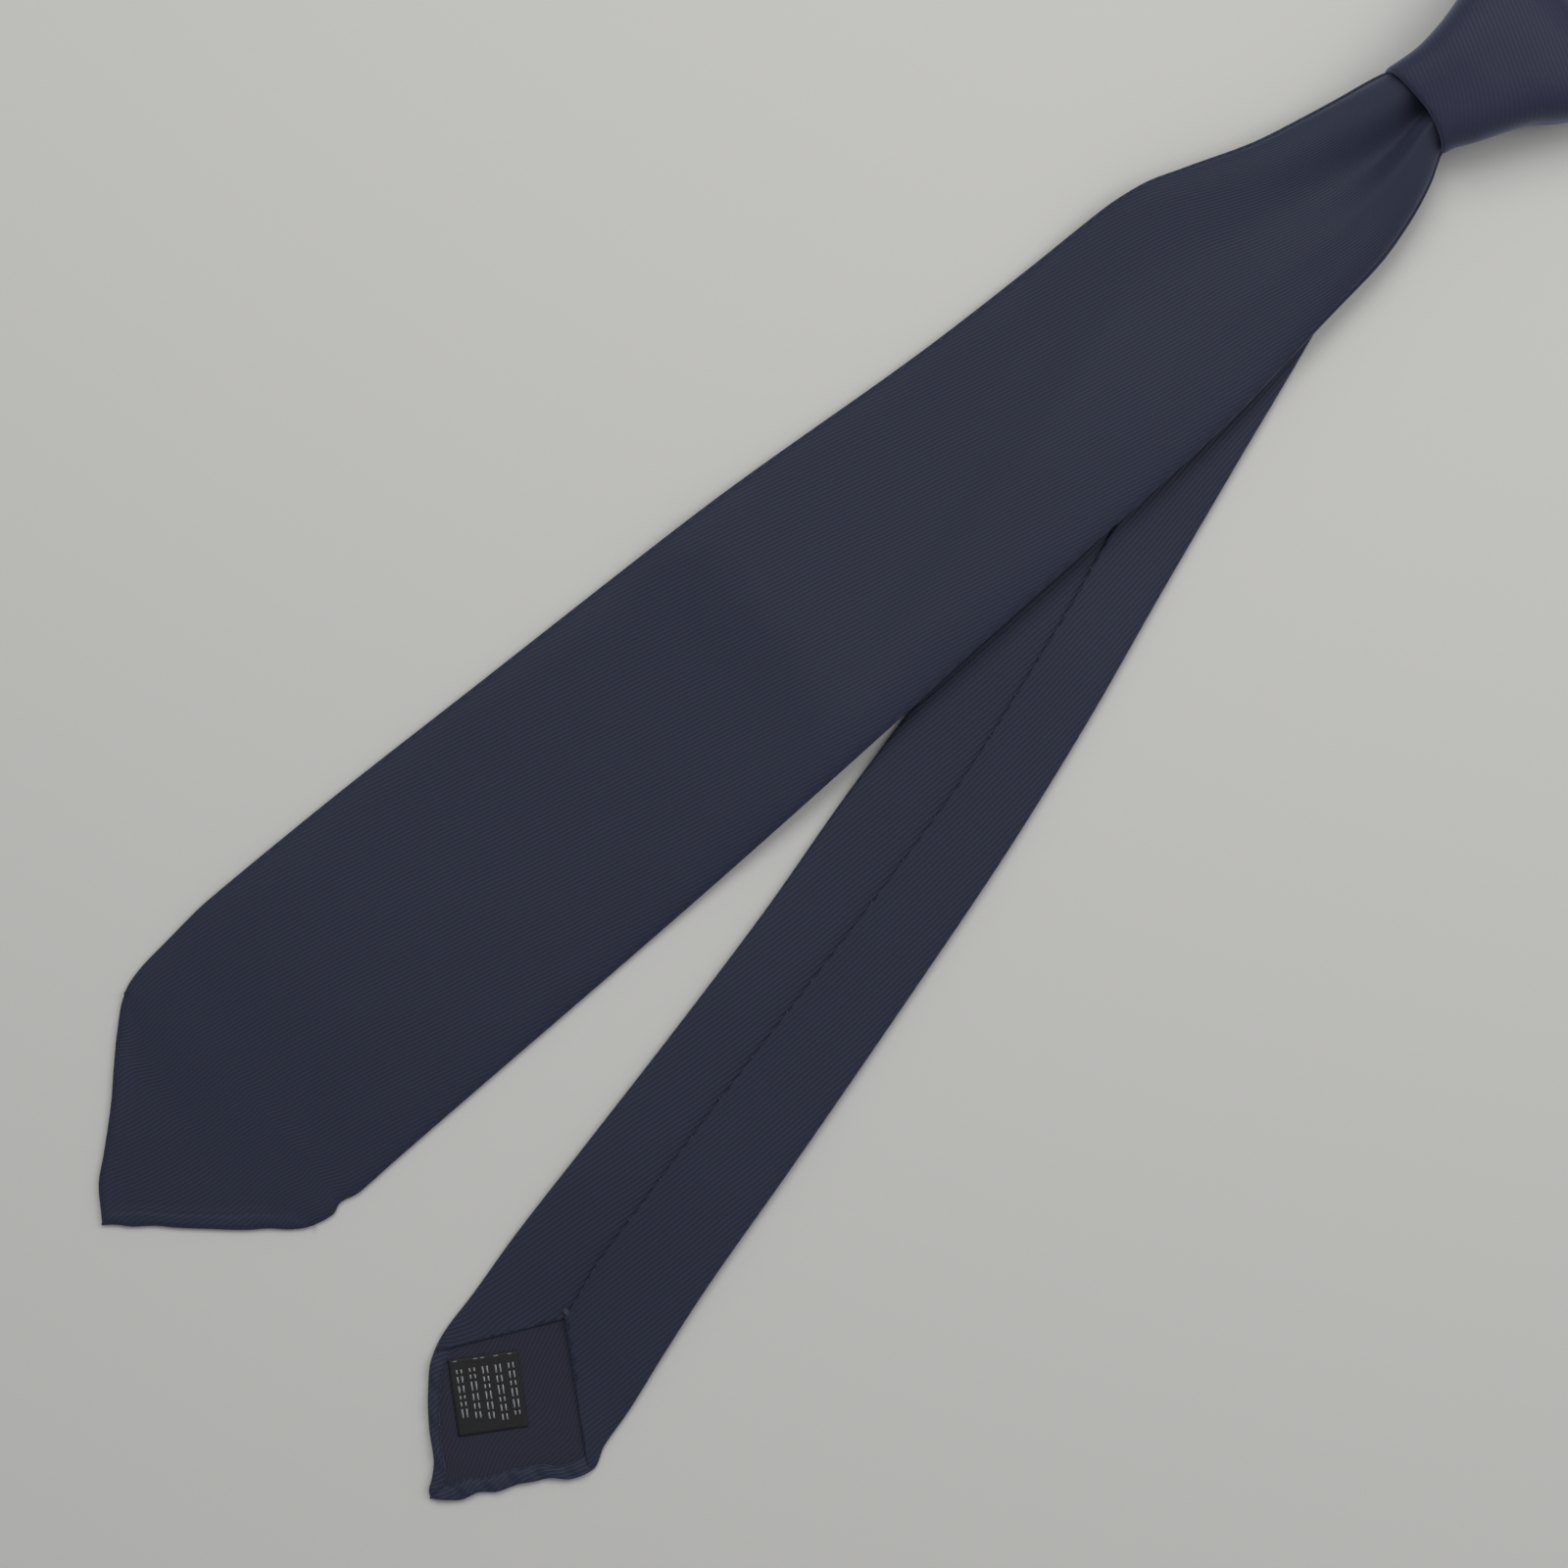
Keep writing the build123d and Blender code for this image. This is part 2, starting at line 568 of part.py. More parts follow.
# The band's two ends where they come out of the knot's top, in a node on the knot
with BuildPart() as neck_band_ends:
    for side in (-1, 1):
        with BuildSketch(Plane.XY.offset(BAND_LOW)):
            with Locations((LOOP_X + side * LOOP_NECK_R, (KNOT_TOP_Y - 1.8 + LOOP_HINGE_Y) / 2)):
                Rectangle(BAND_T, LOOP_HINGE_Y - KNOT_TOP_Y + 1.8)
        extrude(amount=BAND_HIGH - BAND_LOW)
    with BuildSketch(Plane.YZ):
        with Locations((LOOP_HINGE_Y, LOOP_HINGE_Z)):
            Circle((BAND_HIGH - BAND_LOW) / 2 + PIVOT_GAP)
    extrude(amount=TALL, both=True, mode=Mode.SUBTRACT)
neck_band_ends.part.label = "neck_band_ends"

pieces = [
    knot_front_wrap, knot_wrap_interlining, knot_back_wrap, knot_inner_turn, knot_cross_turn,
    front_blade_pass, front_blade_silk, front_interlining, front_tip_hem, front_hem_stitches,
    front_slip_stitches, front_bar_tack, keeper_loop, keeper_stitches, tail_strip_silk,
    tail_strip_interlining, tail_blade_silk, tail_interlining, tail_tip_hem, tail_hem_stitches,
    tail_slip_stitches, tail_bar_tack, composition_label, label_stitches, neck_front_panel,
    neck_tail_panel, neck_gusset, neck_interlining, neck_slip_stitches, neck_band_ends,
]
os.makedirs("parts", exist_ok=True)
for piece in pieces:
    export_step(piece.part, f"parts/{piece.part.label}.step")
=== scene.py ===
"""Looks of the tied necktie: twill silk blades, knot, neck loop, woven label and hand stitching.

Lengths in this file are millimetres in the CAD frame until a mesh is made, which takes metres.
"""

import math

import bmesh
import bpy
import numpy as np
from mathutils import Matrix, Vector


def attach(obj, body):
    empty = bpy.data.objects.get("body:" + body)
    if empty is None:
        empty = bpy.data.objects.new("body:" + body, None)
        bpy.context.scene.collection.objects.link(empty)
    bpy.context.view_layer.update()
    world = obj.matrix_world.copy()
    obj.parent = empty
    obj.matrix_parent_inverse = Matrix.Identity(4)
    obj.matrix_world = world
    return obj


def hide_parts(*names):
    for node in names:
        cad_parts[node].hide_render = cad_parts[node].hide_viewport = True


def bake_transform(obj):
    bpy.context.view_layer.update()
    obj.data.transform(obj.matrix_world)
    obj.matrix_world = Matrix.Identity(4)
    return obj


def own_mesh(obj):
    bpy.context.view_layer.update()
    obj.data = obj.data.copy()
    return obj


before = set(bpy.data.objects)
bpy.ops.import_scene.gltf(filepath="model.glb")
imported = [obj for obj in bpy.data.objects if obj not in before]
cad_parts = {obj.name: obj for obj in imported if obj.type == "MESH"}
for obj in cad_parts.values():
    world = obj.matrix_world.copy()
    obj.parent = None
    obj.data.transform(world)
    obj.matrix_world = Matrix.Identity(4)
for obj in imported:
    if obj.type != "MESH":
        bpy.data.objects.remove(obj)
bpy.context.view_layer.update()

MM = 0.001
SILK = 0.35                     # thickness of one layer of silk
SLIDE = 40                      # how far the tail can be drawn down through the knot
TABLE_GAP = 0.15                # clearance of the cloth over the table
LOWEST = TABLE_GAP * 0.4        # nothing hangs lower than this
MERGE = 0.02                    # points closer than this become one
SEWN = 0.03                     # and so do those where a blade's layers meet
UP = Vector((0, 0, 1))

# Camera and light
VIEW_WIDTH = 432.4
VIEW_CENTRE = (28.4, -253.1)
VIEW_TURN = 49.6                # degrees from the frame's X to the picture's horizontal
CAMERA_HEIGHT = 1250
SENSOR = 36
FLOOR = 6                       # metres from its middle to each side
FLOOR_DROP = 0.0002             # metres below the table plane
LIGHT_SIZE = 0.9
LIGHT_COLOUR = (1.0, 0.995, 0.985)
ROOM_LIGHT = 0.34

# Twill: rib spacing, and rib directions measured clockwise from the strip's length, in degrees
RIB = 1.1
TAIL_RIB = 1.18
YARN = 0.52                     # length of one yarn float
FRONT_RIB_ANGLE = 13
TAIL_FACE_RIB_ANGLE = -10
LEFT_FLAP_RIB_ANGLES = (14, 20)     # upper and lower part of the tail
RIGHT_FLAP_RIB_ANGLES = (10, 17)
KNOT_RIB_ANGLE = 108.6
NAVY_DARK = (0.0112, 0.0140, 0.0325)
NAVY_LIGHT = (0.0200, 0.0252, 0.0515)
FLECK = (0.12, 0.13, 0.16)
SHEEN_TINT = (0.55, 0.62, 0.9)

# Front blade, as (y, x) down both edges; the point's edges start at the shoulders
FRONT_LEFT = [(16, -8), (6, -10.6), (1, -12.3), (-3, -13.8), (-16, -16.4), (-28, -19), (-40, -21.9),
              (-60, -29.2), (-72, -33.4), (-84, -35.1), (-110, -36), (-140, -37.3), (-220, -43.8),
              (-300, -47.3), (-360, -49.6), (-395, -50.1), (-411, -48.9), (-419, -48.2), (-425.6, -46.9),
              (-430, -44.8), (-437.8, -38.3), (-444, -32.3), (-451.1, -25.1), (-462.1, -15.4),
              (-468.3, -10.2), (-473.3, -3.2), (-474.7, -1.2)]
FRONT_RIGHT = [(16, 10), (6, 12), (-2.6, 13.4), (-12, 18.4), (-24, 22.9), (-37, 26), (-54, 27.7),
               (-70, 29.4), (-90, 31.6), (-110, 32.6), (-179, 34), (-220, 35.5), (-300, 37.3),
               (-400, 38), (-415, 38.3), (-421, 37), (-424.5, 38.2), (-431.4, 36.7), (-435.7, 34.2),
              (-440.7, 29.6), (-445.2, 26.3), (-453.6, 18.8), (-460.2, 12.7), (-463.9, 8.9),
              (-469.5, 4.4), (-471.7, 1.9), (-474.7, -0.6)]
FRONT_TIP = (-0.5, -474.8)
FRONT_APEX = (-5, -388)
FRONT_SEAM = [(16, 1), (-10, 2), (-60, 0), (-220, -4), (-388, -5), (-476, -5)]
FRONT_UNDER = [(-480, 0), (-335, 0.1), (-290, 2), (-255, 5), (-225, 7), (-170, 7.7), (-115, 7.4),
               (-75, 6.8), (-40, 6.7), (-8, 7.2), (16, 7.8)]
FRONT_THICK = [(-480, 1.5), (-445, 1.7), (-418, 2.3), (-385, 3.2), (-100, 3.4), (-50, 3.6), (16, 3.6)]
FRONT_CUT_HALF = [(-475, 46), (-400, 44), (-200, 39), (16, 31)]

# Tail, back side up
TAIL_LEFT = [(38, -8), (0, -8.3), (-14, -8.6), (-36, -6), (-60, -2), (-100, 7.5), (-140, 19.4),
             (-180, 28.3), (-240, 41.3), (-280, 51.6), (-320, 60.5), (-360, 68.8), (-390, 75),
             (-409.7, 79.9), (-422, 82.6), (-429.7, 86), (-436.4, 92.4), (-442.7, 100.3), (-447.6, 108),
             (-451, 111.2), (-454, 113.4), (-454.7, 114.9)]
TAIL_RIGHT = [(38, 11), (0, 11.3), (-14, 12.2), (-36, 18.6), (-60, 28), (-100, 41.8), (-140, 55.8),
              (-180, 70.2), (-220, 83), (-260, 94.2), (-320, 110.3), (-360, 120.6), (-380, 126.6),
              (-398.5, 132.5), (-409, 135.2), (-415.5, 138.2), (-421.4, 136.6), (-426.3, 132.2),
              (-430.1, 130.2), (-433.8, 128), (-439.9, 125.6), (-443.9, 122.4), (-448.3, 121.2),
              (-451.6, 118.6), (-454.7, 115.5)]
FRONT_SHOULDERS = (-429, -431)  # y of the left and right corner of each point
TAIL_SHOULDERS = (-428, -417)
TAIL_TIP = (115.2, -454.8)
TAIL_APEX = (101.5, -394.5)
TAIL_SEAM = [(38, 1), (-22, 3), (-60, 11), (-100, 22), (-136, 33), (-160, 42), (-185, 50.3), (-213, 59),
             (-248, 67.5), (-300, 78.6), (-332, 85.4), (-357, 91.2), (-378, 96), (-394.5, 101.5),
             (-460, 112)]
TAIL_UNDER = [(-460, 0), (-40, 0.1), (-18, 1.5), (38, 1.6)]
TAIL_THICK = [(-460, 1.0), (-425, 1.15), (-404, 1.3), (-388, 1.9), (-365, 2.6), (-60, 2.8), (38, 2.6)]
TAIL_CUT_HALF = [(-460, 30), (-400, 27), (-200, 23.5), (38, 20)]
HEM_RETURN = 3.2                # how far the rolled hems come back over the cloth
HEM_HEIGHT = 1.6
ROW_STEP = 2.6                  # along the blades, and in their points
POINT_ROW_STEP = 0.9
FACE_COLUMNS = 84
FLAP_COLUMNS = 26
HEM_COLUMNS = 12
CORE_STEP = 4.0
CORE_COLUMNS = 24
ARC_POINTS = 7                  # round a folded edge
LAP = 1.8                       # how far the left flap reaches under the right one
FACE_TAG = 0
HEM_TAG = 2
FAR = 30                        # more than any distance that the hems' shapes look at

# Knot: y, left, right, underside, top
KNOT = [(-1, -13.6, 13.9, 0.2, 19.6), (2, -13.1, 14.2, 0.1, 20.4), (9.7, -12.4, 17.6, 0, 22.2),
        (17.5, -13.3, 22, 0, 23.6), (28, -15.9, 29.4, 0, 24.2), (37, -18.6, 33.6, 0, 23.6),
        (43, -20.4, 34.8, 0.3, 21.8), (47, -20, 34, 1.6, 18.6), (49.5, -17.6, 31.4, 4, 14.6)]
KNOT_COLUMNS = 160
PILLOW_ROWS = 13
PILLOW_COLUMNS = 64
# How the wrap turns in at the lip and at the top: y, distance inside the outline
KNOT_LIP = [(7, 1.9), (4.5, 1.8), (2.5, 1.7), (1.1, 1.5), (0.3, 1.1), (0, 0.55), (0.3, 0.12), (1, 0)]
KNOT_TOP = [(46.5, 0.0), (48, 0.15), (49, 0.8), (49.3, 1.8), (48.8, 3.0), (47.2, 4.2), (44, 5.0)]

# Stitches, keeper loop and label
SEAM_START_Y = -70
SEAM_PITCH = 13
HEM_PITCH = 6.5
KEEPER_AT = (-4, -228)
KEEPER_SIZE = (52, 12)
KEEPER_THICK = 0.42
LABEL_AT = (103.4, -424.1)
LABEL_SIZE = (21.4, 19.4)
LABEL_THICK = 0.25
LABEL_TURN = -32.2
MARK_PITCH = 3.6                # of the rows across the label
MARK_SHIFT = 0.2                # of the middle row, up the label
MARK_START = -7.6               # along a row
MARK_END = 6.2
MARK_GAP = 0.8

# Neck loop
LOOP_CENTRE = (9, 138)
LOOP_R = 60
LOOP_NECK = (9, 50)
LOOP_NECK_R = 6.5
BAND_T = 2.8
BAND_TOP = 34.3
BAND_STEP = 2.2
GATHER = 2.3                    # how much thicker the band is where it enters the knot
GATHER_Y = (47, 64)             # and over which stretch
BAND_RIB_ANGLE = 40
SEAM_ROUND = 1.3                # the band thins over this distance to its panel seams
SEAM_THICK = 0.74               # and this is its share of thickness at a seam
ROOT_START_Y = 44               # the band's roots reach from here, inside the knot, up to the panels
RING_START_Y = 68
BIAS_LEFT_Y = 118
BIAS_RIGHT_Y = 158


# -------- numbers

def curve(points):
    """A smooth function through (place, value) points, with no overshoot between them."""
    place, value = np.array(sorted(points), float).T
    step = np.diff(place)
    slope = np.diff(value) / step
    tangent = np.zeros_like(value)
    tangent[0], tangent[-1] = slope[0], slope[-1]
    product = slope[:-1] * slope[1:]
    total = slope[:-1] + slope[1:]
    same_way = product > 0
    tangent[1:-1][same_way] = 2 * product[same_way] / total[same_way]

    def at(q):
        q = np.clip(np.asarray(q, float), place[0], place[-1])
        i = np.clip(np.searchsorted(place, q) - 1, 0, len(step) - 1)
        t = (q - place[i]) / step[i]
        h = step[i]
        start = value[i] * (1 + 2 * t) * (1 - t) ** 2 + tangent[i] * h * t * (1 - t) ** 2
        end = value[i + 1] * t * t * (3 - 2 * t) + tangent[i + 1] * h * t * t * (t - 1)
        return start + end

    return at


def smoothstep(q, low, high):
    """0 below low and 1 above high, smooth between them."""
    t = np.clip((np.asarray(q, float) - low) / (high - low), 0, 1)
    return t * t * (3 - 2 * t)


def bump(q, centre, width):
    """A soft hump of height 1 at the centre."""
    return np.exp(-((np.asarray(q, float) - centre) / width) ** 2)


def ripple(x, y, seed, length, count=5):
    """Gentle cloth unevenness between about -1 and 1, from a few long waves."""
    random = np.random.default_rng(seed)
    total = np.zeros(np.broadcast(x, y).shape)
    for _ in range(count):
        angle = random.uniform(0, math.pi)
        wave = length * random.uniform(0.6, 1.6)
        phase = random.uniform(0, 2 * math.pi)
        total = total + np.sin((x * math.cos(angle) + y * math.sin(angle)) * 2 * math.pi / wave + phase)
    return total / count * 1.4


def spread_to_edges(count):
    """Places from 0 to 1, closer together near both ends."""
    even = np.linspace(0, 1, count)
    return 0.45 * even + 0.55 * (1 - np.cos(math.pi * even)) / 2


def stack(*parts):
    """Points from their coordinates, each of which may be a row, a column or a grid."""
    return np.stack(np.broadcast_arrays(*parts), axis=-1)


def weave(across, along, angle, low_angle=None):
    """Cloth coordinates in mm, across and along the ribs; the ribs may turn to low_angle down the strip."""
    ends = [angle if low_angle is None else low_angle, angle]
    places = np.arange(-520.0, 260.0)
    turns = np.radians(np.interp(places, [-400, -150], ends))
    drift = np.cumsum(np.sin(turns))
    turn = np.interp(along, places, turns)
    return stack(across * np.cos(turn) - np.interp(along, places, drift), across * np.sin(turn) + along)


# -------- meshes

def new_object(name, data):
    made = bpy.data.objects.new(name, data)
    bpy.context.scene.collection.objects.link(made)
    return made


def object_from(bm, name, materials):
    """Ends bm and makes an object of its mesh."""
    mesh = bpy.data.meshes.new(name)
    bm.to_mesh(mesh)
    bm.free()
    for material in materials:
        mesh.materials.append(material)
    return new_object(name, mesh)


def add_grid(bm, points, cloth, closed=False):
    """Adds a grid of points (rows, columns, 3) with cloth coordinates, and returns its vertices."""
    layer = bm.loops.layers.uv.get("weave") or bm.loops.layers.uv.new("weave")
    rows, columns = points.shape[:2]
    verts = [[bm.verts.new(point * MM) for point in row] for row in points]
    for r in range(rows - 1):
        for c in range(columns if closed else columns - 1):
            after = (c + 1) % columns
            corners = [(r, c), (r, after), (r + 1, after), (r + 1, c)]
            if len({tuple(points[i]) for i in corners}) < 4:
                continue
            face = bm.faces.new([verts[i][j] for i, j in corners])
            face.smooth = True
            for loop, (i, j) in zip(face.loops, corners):
                loop[layer].uv = cloth[i, columns] if closed and j < c else cloth[i, j]
    return verts


def close_rings(rings):
    """The same rings with each one's first point repeated at its end."""
    return np.concatenate([rings, rings[:, :1]], axis=1)


def run_along(points):
    """Distance along each row of points."""
    steps = np.linalg.norm(np.diff(points, axis=1), axis=2)
    return np.concatenate([np.zeros((len(points), 1)), np.cumsum(steps, axis=1)], axis=1)


def ring_mesh(points, cloth, capped):
    """A tube through rings of points, with cloth coordinates for the closed rings."""
    bm = bmesh.new()
    rings = add_grid(bm, points, cloth, closed=True)
    if capped:
        bm.faces.new(rings[0])
        bm.faces.new(rings[-1][::-1])
    bmesh.ops.recalc_face_normals(bm, faces=bm.faces)
    return bm


def finish_mesh(bm, name, materials, thickness=0.0, inner_slot=0, outward=None):
    """Turns bm into an object, merging coincident points and giving thin cloth its thickness."""
    bmesh.ops.remove_doubles(bm, verts=bm.verts, dist=MERGE * MM)
    bmesh.ops.dissolve_degenerate(bm, edges=bm.edges, dist=0.001 * MM)
    bm.normal_update()
    if outward is not None and sum((f.normal.dot(outward) * f.calc_area() for f in bm.faces), 0.0) < 0:
        bmesh.ops.reverse_faces(bm, faces=bm.faces)
    made = object_from(bm, name, materials)
    if thickness:
        shell = made.modifiers.new("cloth", "SOLIDIFY")
        shell.thickness = thickness * MM
        shell.offset = -1
        shell.use_even_offset = False
        shell.material_offset = inner_slot
        apply_modifiers(made)
    return made


def apply_modifiers(made):
    """Puts the modifiers' result in the place of the object's mesh."""
    graph = bpy.context.evaluated_depsgraph_get()
    mesh = bpy.data.meshes.new_from_object(made.evaluated_get(graph))
    made.modifiers.clear()
    old = made.data
    made.data = mesh
    bpy.data.meshes.remove(old)


def tube(name, route, radius, material, sides, squash=1.0):
    """A thread along a route of points, closed at both ends."""
    points = [Vector(p) for p in route]
    turns = [2 * math.pi * k / sides for k in range(sides)]
    rings = []
    for i, point in enumerate(points):
        ahead = (points[min(i + 1, len(points) - 1)] - points[max(i - 1, 0)]).normalized()
        side = ahead.cross(UP)
        side = side.normalized() if side.length > 1e-6 else Vector((1, 0, 0))
        up = side.cross(ahead).normalized() * squash
        rings.append([point + (side * math.cos(turn) + up * math.sin(turn)) * radius for turn in turns])
    rings = np.array(rings)
    return object_from(ring_mesh(rings, close_rings(rings)[..., :2], capped=True), name, [material])


def join(name, parts):
    """Joins objects that share one material into one."""
    bm = bmesh.new()
    for part in parts:
        bm.from_mesh(part.data)
    material = parts[0].data.materials[0]
    for part in parts:
        bpy.data.objects.remove(part)
    return object_from(bm, name, [material])


# -------- materials

class Nodes:
    """A short way to write shader nodes. Inputs are given as values or as other nodes' sockets."""

    def __init__(self, name):
        self.material = bpy.data.materials.new(name)
        self.material.use_nodes = True
        self.tree = self.material.node_tree
        self.shader = self.tree.nodes["Principled BSDF"]

    def feed(self, node, inputs):
        """Sets or links a node's inputs."""
        for key, value in inputs.items():
            if isinstance(value, bpy.types.NodeSocket):
                self.tree.links.new(value, node.inputs[key])
            elif isinstance(value, tuple):
                node.inputs[key].default_value = (*value, 1)
            else:
                node.inputs[key].default_value = value

    def finish(self, **inputs):
        """Feeds the shader, whose inputs' names are written with underscores."""
        self.feed(self.shader, {key.replace("_", " "): value for key, value in inputs.items()})
        return self.material

    def add(self, kind, inputs, output=0, **settings):
        """Adds a node with its settings and inputs, and returns one of its outputs."""
        node = self.tree.nodes.new(kind)
        for key, value in settings.items():
            setattr(node, key, value)
        self.feed(node, inputs)
        return node.outputs[output]

    def uv_map(self):
        """Cloth coordinates in mm, across and along the ribs."""
        return self.add("ShaderNodeUVMap", {}, uv_map="weave")

    def place(self):
        """The place on the object, in metres."""
        return self.add("ShaderNodeTexCoord", {}, "Object")

    def part(self, vector, index):
        return self.add("ShaderNodeSeparateXYZ", {0: vector}, index)

    def math(self, operation, *values):
        return self.add("ShaderNodeMath", dict(enumerate(values)), operation=operation)

    def total(self, first, *others):
        """The sum of (value, weight) pairs."""
        value = self.math("MULTIPLY", *first)
        for other in others:
            value = self.math("ADD", value, self.math("MULTIPLY", *other))
        return value

    def noise(self, vector, scale, detail=2, roughness=0.5):
        return self.add("ShaderNodeTexNoise", {"Vector": vector, "Scale": scale, "Detail": detail,
                                               "Roughness": roughness}, "Fac")

    def mix(self, factor, a, b):
        return self.add("ShaderNodeMix", {"Factor": factor, "A": a, "B": b}, "Result", data_type="RGBA")

    def ramp(self, value, low, high, out_low=0.0, out_high=1.0):
        return self.add("ShaderNodeMapRange", {"Value": value, "From Min": low, "From Max": high,
                                               "To Min": out_low, "To Max": out_high}, "Result")

    def wave(self, value):
        """A sine from 0 to 1, one turn for each step of 1 in value."""
        return self.ramp(self.math("SINE", self.math("MULTIPLY", value, 2 * math.pi)), -1, 1)

    def bump(self, height, strength, distance):
        return self.add("ShaderNodeBump", {"Height": height, "Strength": strength,
                                           "Distance": distance * MM}, "Normal")


def twill(name, dark, light, rib=RIB, relief=0.09, sheen=0.25, roughness=0.6, specular=0.3):
    """Twill silk: diagonal ribs of short yarn floats, from the weave coordinates in mm."""
    n = Nodes(name)
    cloth = n.uv_map()
    drift = n.noise(cloth, 0.035, 3)
    across = n.math("ADD", n.part(cloth, 0), n.math("MULTIPLY", drift, 1.2))
    turns = n.math("DIVIDE", across, rib)
    ridge = n.math("POWER", n.wave(turns), 0.75)
    stagger = n.math("MULTIPLY", n.math("FLOOR", turns), 0.37)
    along = n.math("DIVIDE", n.part(cloth, 1), YARN)
    yarn = n.wave(n.math("ADD", along, n.math("ADD", stagger, turns)))
    slub = n.noise(cloth, 1.7, 4, 0.65)
    cloud = n.noise(n.place(), 16, 3)
    height = n.total((ridge, 0.78), (yarn, 0.16), (slub, 0.22))
    tone = n.total((ridge, 0.55), (yarn, 0.12), (cloud, 0.33))
    fleck = n.math("MULTIPLY", n.ramp(n.noise(cloth, 2.3, 1), 0.775, 0.80), 0.25)
    return n.finish(Base_Color=n.mix(fleck, n.mix(tone, dark, light), FLECK),
                    Roughness=n.ramp(tone, 0.2, 0.9, roughness + 0.1, roughness - 0.05),
                    Normal=n.bump(height, 1.0, relief), Specular_IOR_Level=specular,
                    Sheen_Weight=sheen, Sheen_Roughness=0.45, Sheen_Tint=SHEEN_TINT)


def wool(name):
    """The interlining's brushed, undyed wool."""
    n = Nodes(name)
    place = n.place()
    fibre = n.noise(place, 900, 5, 0.7)
    patch = n.noise(place, 60, 2)
    return n.finish(Base_Color=n.mix(fibre, (0.40, 0.36, 0.30), (0.68, 0.64, 0.56)),
                    Normal=n.bump(n.math("ADD", fibre, patch), 0.8, 0.4), Roughness=0.95, Sheen_Weight=0.3)


def thread(name, dark, light):
    """Twisted sewing thread."""
    n = Nodes(name)
    twist = n.add("ShaderNodeTexWave", {"Vector": n.place(), "Scale": 900, "Distortion": 1.5}, "Fac",
                  bands_direction="DIAGONAL")
    return n.finish(Base_Color=n.mix(twist, dark, light), Normal=n.bump(twist, 0.5, 0.08), Roughness=0.5,
                    Sheen_Weight=0.2)


def satin(name, dark, light):
    """The label's ground: close satin picks across its width."""
    n = Nodes(name)
    cloth = n.uv_map()
    picks = n.wave(n.math("DIVIDE", n.part(cloth, 1), 0.32))
    ends = n.wave(n.math("DIVIDE", n.part(cloth, 0), 0.55))
    height = n.total((picks, 0.7), (ends, 0.3))
    return n.finish(Base_Color=n.mix(height, dark, light), Normal=n.bump(height, 0.8, 0.06),
                    Roughness=0.55, Specular_IOR_Level=0.35)


def table_top(name):
    """The plain pale table."""
    n = Nodes(name)
    cloud = n.noise(n.place(), 1.3, 2)
    return n.finish(Base_Color=n.mix(cloud, (0.58, 0.58, 0.56), (0.615, 0.61, 0.59)), Roughness=0.75,
                    Specular_IOR_Level=0.2)


silk_face = twill("navy_twill", NAVY_DARK, NAVY_LIGHT)
silk_tail = twill("navy_twill_tail", NAVY_DARK, NAVY_LIGHT, rib=TAIL_RIB, relief=0.13)
silk_back = twill("navy_twill_wrong_side", (0.0148, 0.0156, 0.0290), (0.0260, 0.0274, 0.0472),
                  rib=TAIL_RIB, relief=0.08, sheen=0.2, roughness=0.7, specular=0.25)
# The knot's silk is the blades' silk given lighter, bluer colours. This is painted light and sheen,
# standing in for the light that the raised knot catches; the turns inside the knot share it.
knot_silk_painted_light = twill("navy_twill_knot_painted_light", (0.0152, 0.0182, 0.0440), (0.0190, 0.0230, 0.0520),
                  relief=0.018, sheen=0.36)
wool_cloth = wool("brushed_wool")
navy_thread = thread("navy_thread", (0.012, 0.014, 0.024), (0.04, 0.045, 0.065))
label_ground = satin("label_satin", (0.006, 0.006, 0.007), (0.014, 0.014, 0.015))
label_thread = thread("label_thread", (0.16, 0.17, 0.19), (0.42, 0.43, 0.46))


# -------- blades

class Blade:
    """A folded, pointed blade: its outline, heights and folds, as functions of place."""

    def __init__(self, left, right, tip, shoulders, under, thick, seam, apex, face_up, cut_half, wave_seed):
        self.left, self.right = curve(left), curve(right)
        self.left_end = (float(self.left(shoulders[0])), shoulders[0])
        self.right_end = (float(self.right(shoulders[1])), shoulders[1])
        self.top_y = left[0][0]
        self.tip, self.apex = tip, apex
        self.under, self.thick, self.seam = curve(under), curve(thick), curve(seam)
        self.cut_half = curve(cut_half)
        self.face_up = face_up
        self.flap_way = -1 if face_up else 1        # up or down, from the face to the flaps
        self.wave_seed = wave_seed

    def in_point(self, y):
        """0 along the blade and 1 in its single-layer point."""
        shoulder = (self.left_end[1] + self.right_end[1]) / 2
        return smoothstep(-y, -shoulder - 4, -shoulder + 12)

    def share(self, x, y):
        """0 at the blade's left edge and 1 at its right edge."""
        return np.clip((x - self.left(y)) / (self.right(y) - self.left(y)), 0, 1)

    def middle(self, y):
        """Halfway between the edges."""
        return (self.left(y) + self.right(y)) / 2

    def edge(self, side, y):
        """The left edge for side -1, and the right one for side 1."""
        return self.left(y) if side < 0 else self.right(y)

    def ends(self):
        """The point's corners, each with its side."""
        return (-1, self.left_end), (1, self.right_end)


def front_base(blade, x, y):
    """Underside of the front blade: over the tail on one side, falling to the table on the other."""
    lift = blade.under(y)
    clear = smoothstep(-y, 50, 120)
    slid = np.minimum(tail.left(y), tail.left(np.minimum(y + SLIDE, 0)))
    over_tail = 1 / (1 + np.exp(-(x - slid + 12) / 5))
    keeper = 0.9 * bump(y, KEEPER_AT[1], 16) * (1 - over_tail)
    return TABLE_GAP + lift * (1 - 0.85 * clear * (1 - over_tail)) + keeper


